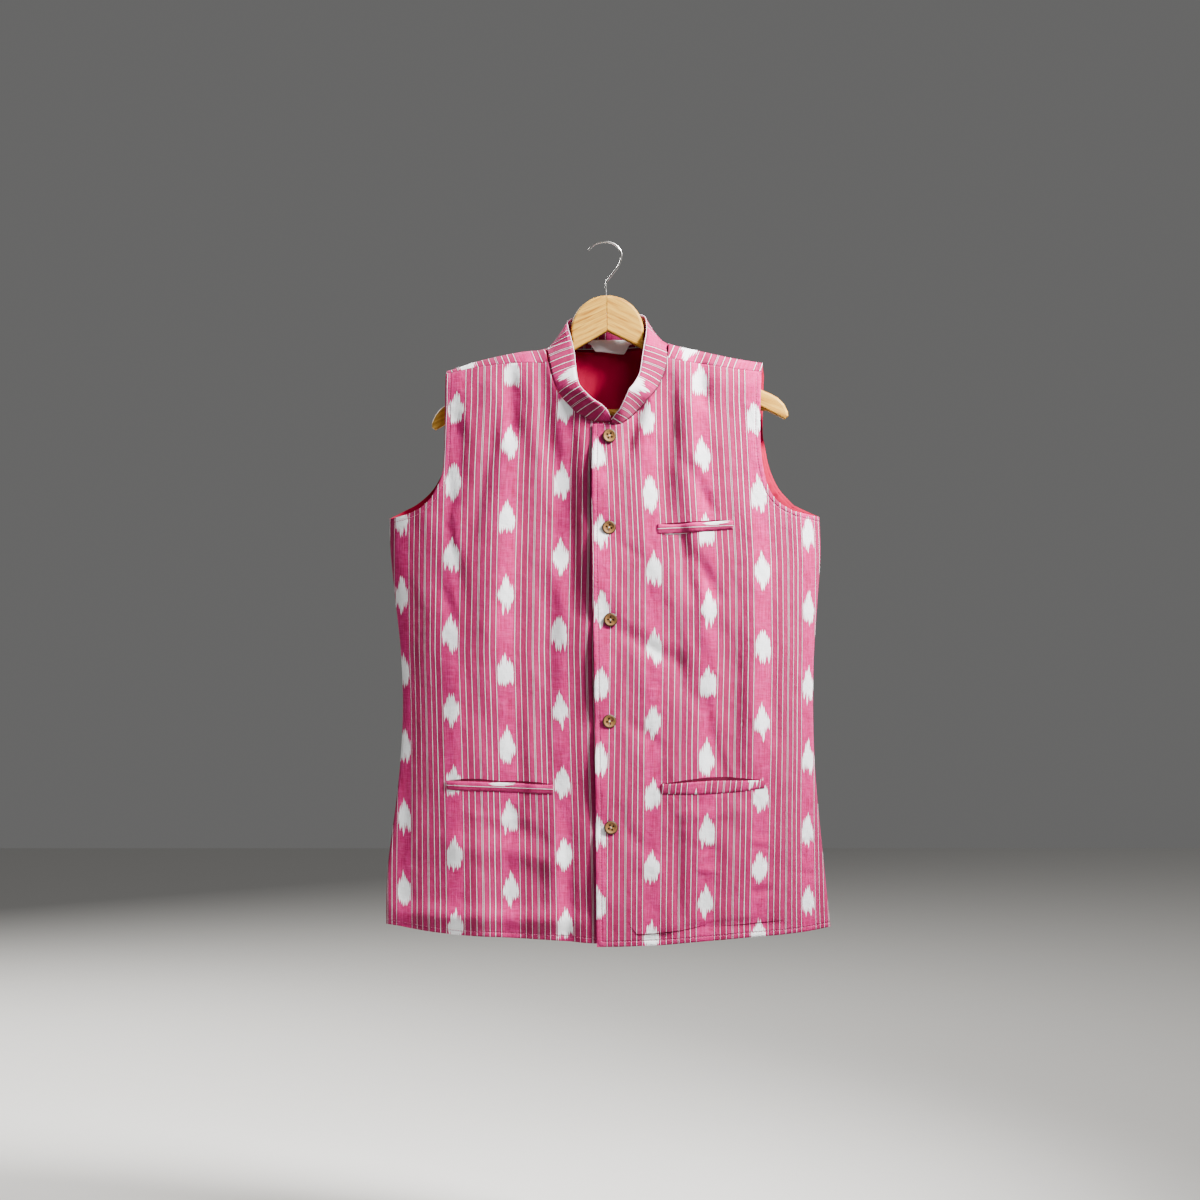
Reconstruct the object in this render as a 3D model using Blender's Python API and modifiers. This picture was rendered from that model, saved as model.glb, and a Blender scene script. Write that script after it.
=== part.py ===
"""Nehru jacket hanging on a wooden hanger.

Every cloth panel starts as a flat pattern piece: its outline is one face, which is cut along a
grid and given a wall. `place` then folds the pattern into the hanging jacket, front and back
alike, so that pieces that meet share one form. Lengths in the tables are millimetres, X to the
wearer's left and Z up, from the underside of the hook where the hanger hangs.
"""

import math
from collections import namedtuple

import bmesh
import bpy
import numpy as np
from mathutils import Matrix, Vector

MM = 0.001

# ---- driving dimensions, mm ----
CLOTH_WALL = 2.0
LINING_WALL = 1.0
LINING_GAP = 1.6
COLLAR_WALL = 2.2
COLLAR_LIFT = 1.0
WELT_WALL = 1.6
LABEL_WALL = 1.0
SEAM_GAP = 0.3
WELT_LIFT = 0.8

FRONT, BACK = -1.0, 1.0

# The flat pattern's grid: half the width and the height that the body is drawn to.
PATTERN_HALF_WIDTH = 270.0
PATTERN_HEIGHT = 740.0
FRONT_COLUMN = 17.0
FRONT_ROW = 29.0
BACK_COLUMN = 25.0
BACK_ROW = 34.0
SIDE_COLUMNS = (222.0, 238.0, 251.0, 260.0, 266.5)
RIDGE_ROWS = (-42.0, -30.0, -20.0, -13.0, -7.0, -3.0, -0.8, 0.0, 0.8, 3.0, 7.0, 13.0, 20.0)
CUT_SNAP = 0.8

SECTION_FLATNESS = 2.6
SECTION_SOFTNESS = 0.75
SHOULDER_ROUND = 40.0
VENT_TOP = -764.0
VENT_FOOT = -850.0
VENT_SPREAD = 4.0

BodyRow = namedtuple("BodyRow", "z right_side left_side front_depth back_depth")
BODY = (
    BodyRow(-880.0, 272.8, 280.5, 33.0, 29.0),
    BodyRow(-853.0, 272.8, 279.0, 33.0, 29.0),
    BodyRow(-816.0, 272.8, 275.3, 32.5, 28.5),
    BodyRow(-779.0, 271.6, 271.6, 32.0, 28.0),
    BodyRow(-729.0, 265.4, 266.6, 32.0, 28.0),
    BodyRow(-692.0, 260.4, 262.9, 32.0, 28.0),
    BodyRow(-642.0, 255.4, 259.2, 32.5, 28.0),
    BodyRow(-593.0, 252.6, 257.6, 33.0, 28.5),
    BodyRow(-518.0, 254.2, 258.2, 35.0, 31.0),
    BodyRow(-444.0, 261.6, 262.9, 37.0, 33.0),
    BodyRow(-382.0, 267.8, 266.6, 38.0, 34.0),
    BodyRow(-344.0, 269.1, 265.4, 38.0, 34.0),
    BodyRow(-224.0, 266.0, 264.0, 36.0, 32.0),
    BodyRow(-100.0, 264.0, 262.0, 27.0, 27.0),
)

LinePoint = namedtuple("LinePoint", "x z")
SHOULDER_LINE = (
    LinePoint(-280.0, -170.0),
    LinePoint(-200.9, -160.0),
    LinePoint(-156.0, -146.3),
    LinePoint(-104.0, -135.5),
    LinePoint(-75.6, -131.6),
    LinePoint(-45.0, -114.0),
    LinePoint(0.0, -100.0),
    LinePoint(45.0, -108.0),
    LinePoint(78.1, -125.2),
    LinePoint(111.6, -133.4),
    LinePoint(172.4, -146.0),
    LinePoint(198.4, -150.0),
    LinePoint(280.0, -160.0),
)
HEM_LINE = (
    LinePoint(-280.0, -843.0),
    LinePoint(-255.4, -847.9),
    LinePoint(-193.4, -856.6),
    LinePoint(-131.4, -860.3),
    LinePoint(-69.4, -864.0),
    LinePoint(-13.6, -867.5),
    LinePoint(42.2, -870.2),
    LinePoint(116.6, -865.2),
    LinePoint(178.6, -860.3),
    LinePoint(240.6, -855.3),
    LinePoint(280.0, -849.0),
)
BACK_HEM_RISE = 4.0
LINING_HEM = 16.0
LINING_TOP = -7.0

# Soft folds: a ridge (rise above 0) or a trough between two points, fading at its ends.
Fold = namedtuple("Fold", "x_top z_top x_foot z_foot width rise")
FRONT_FOLDS = (
    Fold(-150.0, -200.0, -146.0, -590.0, 26.0, 5.0),
    Fold(-122.0, -215.0, -104.0, -640.0, 22.0, -3.0),
    Fold(-54.0, -175.0, -24.0, -262.0, 13.0, -4.5),
    Fold(-215.0, -420.0, -222.0, -700.0, 24.0, -3.0),
    Fold(62.0, -190.0, 58.0, -470.0, 20.0, 3.0),
    Fold(98.0, -150.0, 104.0, -300.0, 12.0, -4.5),
    Fold(120.0, -150.0, 116.0, -560.0, 18.0, 4.0),
    Fold(92.0, -360.0, 90.0, -580.0, 16.0, -3.0),
    Fold(165.0, -440.0, 168.0, -690.0, 26.0, 3.5),
    Fold(45.0, -862.0, 225.0, -842.0, 9.0, 3.5),
    Fold(-60.0, -700.0, -70.0, -860.0, 18.0, 3.5),
    Fold(-120.0, -690.0, -132.0, -865.0, 20.0, -3.0),
)
BACK_FOLDS = (
    Fold(-130.0, -190.0, -118.0, -560.0, 28.0, 4.0),
    Fold(-62.0, -330.0, -70.0, -840.0, 30.0, -4.0),
    Fold(24.0, -180.0, 10.0, -520.0, 24.0, -3.0),
    Fold(96.0, -260.0, 112.0, -820.0, 30.0, 4.5),
    Fold(172.0, -210.0, 150.0, -520.0, 24.0, -3.5),
    Fold(-185.0, -480.0, -200.0, -840.0, 26.0, 3.5),
)

# How deep the under front sinks beside and beneath the lapping one, down its length.
Tuck = namedtuple("Tuck", "z depth")
TUCKS = (
    Tuck(-900.0, 9.0),
    Tuck(-760.0, 8.0),
    Tuck(-700.0, 6.0),
    Tuck(-640.0, 5.0),
    Tuck(-600.0, 8.0),
    Tuck(-560.0, 6.5),
    Tuck(-490.0, 6.0),
    Tuck(-450.0, 10.0),
    Tuck(-400.0, 11.0),
    Tuck(-330.0, 9.0),
    Tuck(-270.0, 6.0),
    Tuck(-226.0, 4.0),
    Tuck(-120.0, 4.0),
)
TUCK_FROM_X = -58.0
TUCK_TO_X = -20.0
TUCK_COLUMNS = (-60.0, -51.0, -43.0, -35.0, -28.0, -20.0)
TUCK_CLEAR = 8.0

# ---- outlines seen from the front, mm ----
UNDERARM = {"right": -343.5, "left": -341.0}
SIDE_FOOT = {"right": -846.0, "left": -849.5}
RIGHT_FRONT_ARMHOLE = (
    LinePoint(-247.0, -338.0),
    LinePoint(-230.0, -330.0),
    LinePoint(-217.0, -318.0),
    LinePoint(-209.5, -305.0),
    LinePoint(-202.6, -289.0),
    LinePoint(-199.8, -262.0),
    LinePoint(-199.0, -225.0),
    LinePoint(-198.8, -190.0),
    LinePoint(-198.6, -163.8),
)
RIGHT_BACK_ARMHOLE = (
    LinePoint(-250.5, -333.0),
    LinePoint(-236.0, -325.0),
    LinePoint(-221.0, -312.0),
    LinePoint(-210.0, -297.0),
    LinePoint(-202.0, -278.0),
    LinePoint(-199.8, -250.0),
    LinePoint(-199.2, -205.0),
    LinePoint(-200.4, -175.0),
)
LEFT_FRONT_ARMHOLE = (
    LinePoint(232.6, -333.6),
    LinePoint(213.3, -322.4),
    LinePoint(200.4, -303.8),
    LinePoint(192.7, -270.3),
    LinePoint(190.3, -230.6),
    LinePoint(191.0, -198.4),
    LinePoint(192.4, -162.5),
)
LEFT_BACK_ARMHOLE = (
    LinePoint(234.4, -326.1),
    LinePoint(215.8, -305.0),
    LinePoint(204.1, -279.0),
    LinePoint(198.4, -250.5),
    LinePoint(196.0, -233.1),
    LinePoint(196.4, -190.0),
    LinePoint(197.2, -165.0),
)
FORWARD_SEAM = {
    "right": (LinePoint(-198.0, -162.8), LinePoint(-72.2, -149.0)),
    "left": (LinePoint(193.0, -161.0), LinePoint(76.6, -144.2)),
}

# The neck seam from the shoulder to centre front, with the collar's top edge across from it.
Collar = namedtuple("Collar", "seam_x seam_z top_x top_y top_z")
RIGHT_NECK = (
    Collar(-71.8, -146.0, -39.6, -29.0, -139.0),
    Collar(-69.0, -161.2, -38.0, -35.0, -155.0),
    Collar(-64.8, -176.0, -36.0, -42.0, -170.0),
    Collar(-59.5, -187.2, -33.5, -46.0, -179.0),
    Collar(-53.3, -195.9, -29.8, -49.0, -184.5),
    Collar(-45.9, -203.6, -24.2, -51.0, -190.4),
    Collar(-38.4, -210.8, -18.0, -51.0, -196.5),
    Collar(-25.4, -219.5, -7.0, -49.0, -203.6),
    Collar(-14.9, -223.8, -3.0, -46.5, -206.5),
    Collar(-5.0, -225.0, 1.4, -43.5, -211.0),
    Collar(5.4, -225.0, 5.4, -39.0, -218.8),
)
LEFT_NECK = (
    Collar(76.0, -139.4, 47.6, -25.0, -130.0),
    Collar(75.0, -150.0, 45.6, -33.0, -143.0),
    Collar(73.0, -160.0, 44.2, -38.0, -153.0),
    Collar(68.2, -172.5, 42.2, -43.0, -164.0),
    Collar(63.2, -183.0, 38.4, -47.5, -172.4),
    Collar(56.5, -191.5, 34.1, -50.5, -179.2),
    Collar(48.4, -200.0, 29.1, -52.5, -185.4),
    Collar(40.9, -209.0, 25.5, -53.5, -193.4),
    Collar(32.9, -217.0, 21.5, -52.5, -201.5),
    Collar(26.0, -222.5, 17.4, -50.0, -209.6),
    Collar(17.4, -227.4, 12.4, -46.5, -215.1),
    Collar(7.0, -227.6, 7.0, -41.5, -222.2),
)
# Round the back of the neck, from the wearer's right shoulder ridge to the left one.
BACK_NECK = (
    Collar(-75.6, -132.0, -43.6, -15.0, -121.0),
    Collar(-70.0, -130.0, -48.0, -4.5, -105.0),
    Collar(-60.0, -130.0, -47.4, 7.0, -96.0),
    Collar(-42.0, -130.0, -35.0, 15.0, -90.0),
    Collar(-22.0, -130.0, -18.0, 19.0, -87.0),
    Collar(0.0, -129.5, 1.0, 20.5, -86.0),
    Collar(24.0, -128.8, 20.0, 19.0, -86.0),
    Collar(45.0, -127.6, 37.0, 15.0, -87.0),
    Collar(62.0, -126.6, 48.6, 7.5, -91.0),
    Collar(72.0, -126.0, 51.0, -3.5, -102.0),
    Collar(78.0, -125.8, 50.4, -14.0, -115.0),
)
COLLAR_ROWS = 3
COLLAR_BOW = 1.6
COLLAR_FULL_BOW_HEIGHT = 25.0
CURVE_STEPS = 2

PLACKET_EDGE = (
    LinePoint(-16.8, -227.6),
    LinePoint(-17.4, -300.0),
    LinePoint(-17.2, -400.0),
    LinePoint(-15.5, -481.0),
    LinePoint(-13.6, -617.5),
    LinePoint(-11.2, -869.0),
)
UNDERLAP_EDGE = (LinePoint(28.0, -866.5), LinePoint(28.0, -227.2))
LAP_HEM = -871.4

WELTS = {
    "chest_welt": (
        LinePoint(63.6, -350.9),
        LinePoint(110.0, -349.6),
        LinePoint(156.0, -347.2),
        LinePoint(156.2, -357.1),
        LinePoint(110.0, -360.8),
        LinePoint(63.0, -362.1),
    ),
    "pocket_welt_left": (
        LinePoint(67.5, -670.8),
        LinePoint(130.0, -667.5),
        LinePoint(195.5, -667.4),
        LinePoint(195.5, -676.8),
        LinePoint(155.0, -681.6),
        LinePoint(116.6, -683.7),
        LinePoint(67.5, -682.6),
    ),
    "pocket_welt_right": (
        LinePoint(-195.9, -667.1),
        LinePoint(-130.0, -669.6),
        LinePoint(-64.5, -672.1),
        LinePoint(-65.7, -683.2),
        LinePoint(-130.0, -680.9),
        LinePoint(-195.9, -678.3),
    ),
}

# ---- buttons, mm ----
BUTTON_PLACES = (
    LinePoint(4.3, -241.8),
    LinePoint(3.7, -354.6),
    LinePoint(5.6, -468.1),
    LinePoint(4.3, -593.3),
    LinePoint(6.2, -724.2),
)
ProfilePoint = namedtuple("ProfilePoint", "radius height")
BUTTON_PROFILE = (
    ProfilePoint(0.0, 1.8),
    ProfilePoint(4.9, 1.8),
    ProfilePoint(6.2, 2.7),
    ProfilePoint(7.6, 2.6),
    ProfilePoint(8.5, 1.6),
    ProfilePoint(7.9, 0.4),
    ProfilePoint(6.4, 0.0),
    ProfilePoint(0.0, 0.0),
)
BUTTON_STEPS = 18
BUTTON_LIFT = 0.6
SLOPE_STEP = 4.0
BUTTON_HOLE_RADIUS = 0.85
BUTTON_HOLE_SPACING = 3.2
BUTTON_HOLE_SIDES = 8
HOLE_BELOW, HOLE_ABOVE = 2.0, 5.0

# ---- label, mm ----
LABEL_LEFT, LABEL_RIGHT = -22.3, 32.2
LABEL_TOP = -119.0
LABEL_COLUMNS = 12
LABEL_DROP = 16.5
LABEL_WAVE = 1.8
LABEL_WAVES = 1.5
LABEL_WAVE_START = 0.6
LABEL_SEAT = -129.0
LABEL_STAND_OFF = 6.8

# ---- hanger, mm, about the centre of its round head ----
HANGER_CENTRE = Vector((1.6, 0.0, -111.0))
HANGER_TILT = math.radians(-1.8)
HEAD_RADIUS = 45.4
HEAD_STEPS = 14
BOARD_THICKNESS = 12.0
BOARD_ROUND = 3.0
BOARD_ROUND_STEPS = 3
UNDERSIDE_PEAK = 0.6
TOP_SLOPE = 0.463
TOP_AT_NECK = LinePoint(77.0, -26.0)
ARM_TIP = (
    LinePoint(200.0, -82.9),
    LinePoint(209.0, -88.2),
    LinePoint(216.5, -96.4),
    LinePoint(221.0, -106.0),
    LinePoint(221.3, -112.0),
    LinePoint(217.0, -115.5),
)
BAR_RADIUS = 4.1
BAR_DROP = -100.0
BAR_HALF_LENGTH = 203.0
BAR_SIDES = 20

# ---- hook, mm ----
WIRE_RADIUS = 1.4
HOOK_ROUTE = (
    LinePoint(-21.6, -9.6),
    LinePoint(-18.6, -5.6),
    LinePoint(-11.5, -0.6),
    LinePoint(0.0, 1.4),
    LinePoint(10.5, -1.6),
    LinePoint(17.6, -9.2),
    LinePoint(19.2, -18.0),
    LinePoint(15.6, -28.6),
    LinePoint(8.2, -38.6),
    LinePoint(1.4, -47.6),
    LinePoint(-0.3, -55.5),
    LinePoint(0.0, -64.5),
    LinePoint(0.4, -84.0),
)
HOOK_CURVE_STEPS = 2
SHANK_TOP, SHANK_END = LinePoint(0.0, -58.0), LinePoint(0.42, -84.6)

Finish = namedtuple("Finish", "colour roughness metallic")
FINISHES = {
    "jacket_cloth": Finish((0.55, 0.10, 0.22), 0.85, 0.0),
    "lining_cloth": Finish((0.40, 0.01, 0.04), 0.60, 0.0),
    "label_satin": Finish((0.80, 0.80, 0.82), 0.45, 0.0),
    "button_shell": Finish((0.42, 0.24, 0.12), 0.50, 0.0),
    "pale_wood": Finish((0.72, 0.50, 0.26), 0.45, 0.0),
    "steel_wire": Finish((0.62, 0.62, 0.62), 0.28, 1.0),
}


def clear_scene():
    for item in list(bpy.data.objects):
        bpy.data.objects.remove(item, do_unlink=True)


def new_collection(name, hidden=False):
    collection = bpy.data.collections.new(name)
    bpy.context.scene.collection.children.link(collection)
    collection.hide_render = hidden
    return collection


def make_material(name):
    """A plain Principled material from the table of finishes."""
    finish = FINISHES[name]
    material = bpy.data.materials.new(name)
    material.use_nodes = True
    shader = material.node_tree.nodes["Principled BSDF"]
    shader.inputs["Base Color"].default_value = (*finish.colour, 1.0)
    shader.inputs["Roughness"].default_value = finish.roughness
    shader.inputs["Metallic"].default_value = finish.metallic
    return material


def add_object(name, mesh, material, collection):
    item = bpy.data.objects.new(name, mesh)
    if material:
        mesh.materials.append(material)
    collection.objects.link(item)
    return item


def bmesh_to_mesh(bm, name, smooth=True):
    bmesh.ops.recalc_face_normals(bm, faces=bm.faces)
    mesh = bpy.data.meshes.new(name)
    bm.to_mesh(mesh)
    bm.free()
    if smooth:
        mesh.shade_smooth()
        mesh.set_sharp_from_angle(angle=math.radians(50))
    return mesh


def smooth_lookup(keys, values, at):
    """Reads a table between its rows along a smooth curve."""
    keys, values = np.asarray(keys), np.asarray(values)
    slopes = np.gradient(values, keys)
    row = np.clip(np.searchsorted(keys, at) - 1, 0, len(keys) - 2)
    step = keys[row + 1] - keys[row]
    u = np.clip((at - keys[row]) / step, 0.0, 1.0)
    start = (1 + 2 * u) * (1 - u) ** 2 * values[row] + u * (1 - u) ** 2 * step * slopes[row]
    end = u * u * (3 - 2 * u) * values[row + 1] - u * u * (1 - u) * step * slopes[row + 1]
    return start + end


def smooth_curve(points, steps=CURVE_STEPS):
    """Points along a smooth curve through the given ones, `steps` for each stretch."""
    points = np.array(points, dtype=float)
    keys = np.arange(len(points))
    at = np.linspace(0, len(points) - 1, steps * (len(points) - 1) + 1)
    return np.stack([smooth_lookup(keys, column, at) for column in points.T], axis=1)


def smooth_step(value):
    value = np.clip(value, 0.0, 1.0)
    return value * value * (3 - 2 * value)


def body(column, z):
    return smooth_lookup([row.z for row in BODY], [getattr(row, column) for row in BODY], z)


def shoulder_line(x):
    return smooth_lookup([p.x for p in SHOULDER_LINE], [p.z for p in SHOULDER_LINE], x)


def hem_line(x):
    return smooth_lookup([p.x for p in HEM_LINE], [p.z for p in HEM_LINE], x)


def side_seam(x, z):
    """Distance of the side seam from the middle, on the side where x lies."""
    return np.where(x < 0, body("right_side", z), body("left_side", z))


def fold_height(folds, x, z):
    """How far the folds lift the cloth outwards at each point."""
    total = np.zeros_like(x)
    for fold in folds:
        run = np.array([fold.x_foot - fold.x_top, fold.z_foot - fold.z_top])
        length = np.hypot(*run)
        along = ((x - fold.x_top) * run[0] + (z - fold.z_top) * run[1]) / length
        aside = ((x - fold.x_top) * run[1] - (z - fold.z_top) * run[0]) / length
        beyond = np.maximum(np.abs(along / length - 0.5) * 2, 0.0)
        fade = 1 - smooth_step((beyond - 0.35) / 0.65)
        total += fold.rise * fade * np.exp(-((aside / fold.width) ** 2))
    return total


def tuck_depth(x, z):
    """How far the under front sinks beneath the lapping one."""
    depth = smooth_lookup([t.z for t in TUCKS], [t.depth for t in TUCKS], z)
    return depth * smooth_step((x - TUCK_FROM_X) / (TUCK_TO_X - TUCK_FROM_X))


def body_y(x, z, ridge, side, depth, tucked):
    """Y of the cloth at x and z, `depth` inside its outer face, on the FRONT or BACK."""
    across = np.clip(np.abs(x) / (side_seam(x, z) - depth), 0.0, 1.0)
    front = side < 0
    reach = np.where(front, body("front_depth", z), body("back_depth", z)) - depth
    open_vent = smooth_step((VENT_TOP - z) / (VENT_TOP - VENT_FOOT))
    seam = SEAM_GAP / 2 + VENT_SPREAD * open_vent
    section = (1 - across**SECTION_FLATNESS) ** SECTION_SOFTNESS
    fold = np.where(front, fold_height(FRONT_FOLDS, x, z), fold_height(BACK_FOLDS, x, z))
    if tucked:
        fold = fold - tuck_depth(x, z)
    crown = 1 - np.clip((ridge - z) / SHOULDER_ROUND, 0.0, 1.0)
    crown = np.sqrt(1 - crown**2)
    reach = seam + (reach - seam) * section + fold * (1 - across**8)
    return side * crown * reach


def place(pattern, side, depth=0.0, tucked=False):
    """Folds flat pattern points (across, up) into the hanging jacket, `depth` inside it.

    Up runs from the hem to the shoulder ridge at PATTERN_HEIGHT. What is above that has gone
    over the ridge and lies on the front.
    """
    across = pattern[:, 0] / PATTERN_HALF_WIDTH
    up = pattern[:, 1] / PATTERN_HEIGHT
    level = np.where(up > 1, 2 - up, up)
    x = across * PATTERN_HALF_WIDTH
    for _ in range(6):
        ridge = shoulder_line(x) - depth
        z = hem_line(x) + level * (ridge - hem_line(x))
        x = across * (side_seam(x, z) - depth)
    facing = np.where(up > 1, FRONT, side)
    return np.stack([x, body_y(x, z, ridge, facing, depth, tucked), z], axis=1)


def to_pattern(points, over_ridge=False):
    """Flat pattern points for (x, z) seen from the front."""
    x, z = np.array([(p[0], p[1]) for p in points], dtype=float).T
    across = x / side_seam(x, z)
    up = (z - hem_line(x)) / (shoulder_line(x) - hem_line(x))
    up = np.where(over_ridge, 2 - up, up)
    return list(zip(across * PATTERN_HALF_WIDTH, up * PATTERN_HEIGHT))


def side_point(sign, z):
    """The pattern point on the side seam at height z."""
    edge = sign * side_seam(np.array(sign), np.array(z))
    return to_pattern([(float(edge), z)])[0]


def seam_height(seam, z_shift=0.0):
    return [LinePoint(p.x, p.z + z_shift) for p in seam]


def cut_pattern(outline, columns, rows):
    """One face for the outline, cut along the grid's lines."""
    bm = bmesh.new()
    bm.faces.new([bm.verts.new((p, 0.0, q)) for p, q in outline])
    lines = [((p, 0, 0), (1, 0, 0)) for p in columns] + [((0, 0, q), (0, 0, 1)) for q in rows]
    for point, normal in lines:
        parts = bm.verts[:] + bm.edges[:] + bm.faces[:]
        bmesh.ops.bisect_plane(bm, geom=parts, dist=CUT_SNAP, plane_co=point, plane_no=normal)
    # Cells at the outline are split while flat, so that walls lying on each other split alike.
    rim = [f for f in bm.faces if len(f.verts) != 4 or any(v.is_boundary for v in f.verts)]
    bmesh.ops.triangulate(bm, faces=rim)
    return bm


def cloth_wall(bm, side, outer, inner, tucked=False):
    """Gives a cut pattern a wall, and folds both its faces into the jacket."""
    faces = bm.faces[:]
    outside = bm.verts[:]
    made = bmesh.ops.extrude_face_region(bm, geom=faces, use_keep_orig=True)["geom"]
    inside = [v for v in made if isinstance(v, bmesh.types.BMVert)]
    for verts, depth in ((outside, outer), (inside, inner)):
        pattern = np.array([(v.co.x, v.co.z) for v in verts])
        for vert, spot in zip(verts, place(pattern, side, depth, tucked)):
            vert.co = spot * MM
    return bm


def grid_columns(step):
    """Grid lines across the pattern, closer together towards the side seams."""
    inner = np.arange(0.0, SIDE_COLUMNS[0] - step / 2, step)
    half = list(inner) + list(SIDE_COLUMNS)
    return sorted({-p for p in half} | set(half))


def grid_rows(step):
    """Grid lines up the pattern, closer together over the shoulder ridge."""
    body_rows = np.arange(step, PATTERN_HEIGHT + RIDGE_ROWS[0] - step / 2, step)
    return list(body_rows) + [PATTERN_HEIGHT + row for row in RIDGE_ROWS]


def front_outline(name):
    """The pattern outline of one front."""
    if name == "left":
        hem = [LinePoint(PLACKET_EDGE[-1].x, LAP_HEM)]
        hem += [p for p in HEM_LINE if 0 < p.x < PATTERN_HALF_WIDTH]
        neck = [LinePoint(p.seam_x, p.seam_z - SEAM_GAP / 2) for p in LEFT_NECK]
        edge = smooth_curve(PLACKET_EDGE)[:-1]
        armhole, sign = LEFT_FRONT_ARMHOLE, 1
    else:
        hem = [UNDERLAP_EDGE[0]] + [p for p in reversed(HEM_LINE) if -PATTERN_HALF_WIDTH < p.x < 0]
        neck = [LinePoint(p.seam_x, p.seam_z - SEAM_GAP / 2) for p in RIGHT_NECK]
        edge = [UNDERLAP_EDGE[1]]
        armhole, sign = RIGHT_FRONT_ARMHOLE, -1
    sides = [side_point(sign, SIDE_FOOT[name]), side_point(sign, UNDERARM[name])]
    seam = seam_height(FORWARD_SEAM[name], -SEAM_GAP)
    return (
        to_pattern(hem)
        + sides
        + to_pattern(smooth_curve(armhole))
        + to_pattern(seam)
        + to_pattern(smooth_curve(neck)[1:])
        + to_pattern(edge)
    )


def back_outline():
    """The pattern outline of the back, which goes over the ridge to the forward seams."""
    halves = []
    for name, sign, armhole in (("right", -1, RIGHT_BACK_ARMHOLE), ("left", 1, LEFT_BACK_ARMHOLE)):
        half = [side_point(sign, SIDE_FOOT[name] + BACK_HEM_RISE)]
        half += [side_point(sign, UNDERARM[name])]
        half += to_pattern(smooth_curve(armhole))
        half += to_pattern(FORWARD_SEAM[name], over_ridge=True)
        halves.append(half)
    neck = to_pattern([LinePoint(p.seam_x, p.seam_z - SEAM_GAP / 2) for p in BACK_NECK])
    inside = [p for p in HEM_LINE if abs(p.x) < PATTERN_HALF_WIDTH]
    hem = to_pattern([LinePoint(p.x, p.z + BACK_HEM_RISE) for p in inside])
    return halves[0] + neck + halves[1][::-1] + hem[::-1]


def trim(bm, axis, edge, sign):
    """Cuts off the part of a pattern that lies beyond a grid line."""
    point, normal = [0.0, 0.0, 0.0], [0.0, 0.0, 0.0]
    point[axis], normal[axis] = edge, sign
    parts = bm.verts[:] + bm.edges[:] + bm.faces[:]
    bmesh.ops.bisect_plane(
        bm, geom=parts, dist=CUT_SNAP, plane_co=point, plane_no=normal, clear_outer=True
    )


def make_front(name, material, collection):
    columns = grid_columns(FRONT_COLUMN)
    if name == "right":
        low, high = TUCK_COLUMNS[0] - TUCK_CLEAR, TUCK_COLUMNS[-1] + TUCK_CLEAR
        columns = sorted([p for p in columns if not low < p < high] + list(TUCK_COLUMNS))
    bm = cut_pattern(front_outline(name), columns, grid_rows(FRONT_ROW))
    cloth_wall(bm, FRONT, 0.0, CLOTH_WALL, tucked=name == "right")
    node = "front_" + name
    return add_object(node, bmesh_to_mesh(bm, node), material, collection)


def make_back(material, collection):
    bm = cut_pattern(back_outline(), grid_columns(BACK_COLUMN), grid_rows(BACK_ROW))
    cloth_wall(bm, BACK, 0.0, CLOTH_WALL)
    return add_object("back", bmesh_to_mesh(bm, "back"), material, collection)


def make_back_lining(material, collection):
    """The lining follows the back's own grid, but stops short of the ridge, sides and hem."""
    bm = cut_pattern(back_outline(), grid_columns(BACK_COLUMN), grid_rows(BACK_ROW))
    trim(bm, 0, -SIDE_COLUMNS[-2], -1)
    trim(bm, 0, SIDE_COLUMNS[-2], 1)
    trim(bm, 2, PATTERN_HEIGHT + LINING_TOP, 1)
    trim(bm, 2, LINING_HEM, -1)
    outer = CLOTH_WALL + LINING_GAP
    cloth_wall(bm, BACK, outer, outer + LINING_WALL)
    return add_object("back_lining", bmesh_to_mesh(bm, "back_lining"), material, collection)


def make_welt(name, material, collection):
    """A pocket's welt: a strip on the front's own form, moved out."""
    bm = cut_pattern(to_pattern(WELTS[name]), grid_columns(FRONT_COLUMN), grid_rows(FRONT_ROW))
    cloth_wall(bm, FRONT, -WELT_LIFT - WELT_WALL, -WELT_LIFT, tucked=name.endswith("right"))
    return add_object(name, bmesh_to_mesh(bm, name), material, collection)


def collar_stations():
    """The band's foot and top edge, from centre front under the lap round to the lapping end."""
    right = smooth_curve(RIGHT_NECK)[::-1]
    left = smooth_curve(LEFT_NECK)
    back = smooth_curve(BACK_NECK)
    stations = []
    for rows, side, tucked in ((right, FRONT, True), (back, BACK, False), (left, FRONT, False)):
        x, z = rows[:, 0], rows[:, 1]
        y = body_y(x, z, shoulder_line(x), np.full_like(x, side), 0.0, tucked)
        for spot, foot_y, top in zip(rows, y, rows[:, 2:]):
            stations.append((Vector((spot[0], foot_y, spot[1])), Vector(top)))
    return stations


def make_collar(material, collection):
    """The stand band: a strip from the neck seam to its top edge, bowed a little, with a wall."""
    bm = bmesh.new()
    rings = []
    for foot, top in collar_stations():
        rise = (top - foot).normalized()
        foot = foot + rise * COLLAR_LIFT
        outward = Vector((foot.x, foot.y, 0.0)).normalized()
        ring = []
        for row in range(COLLAR_ROWS + 1):
            u = row / COLLAR_ROWS
            bow = COLLAR_BOW * math.sin(math.pi * u) * min(1.0, (top - foot).length / COLLAR_FULL_BOW_HEIGHT)
            ring.append(bm.verts.new((foot.lerp(top, u) + outward * bow) * MM))
        rings.append(ring)
    for ring, following in zip(rings, rings[1:]):
        for row in range(COLLAR_ROWS):
            bm.faces.new((ring[row], following[row], following[row + 1], ring[row + 1]))
    mesh = bmesh_to_mesh(bm, "collar")
    collar = add_object("collar", mesh, material, collection)
    wall = collar.modifiers.new("wall", "SOLIDIFY")
    wall.thickness = COLLAR_WALL * MM
    wall.offset = -1
    return collar


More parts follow.
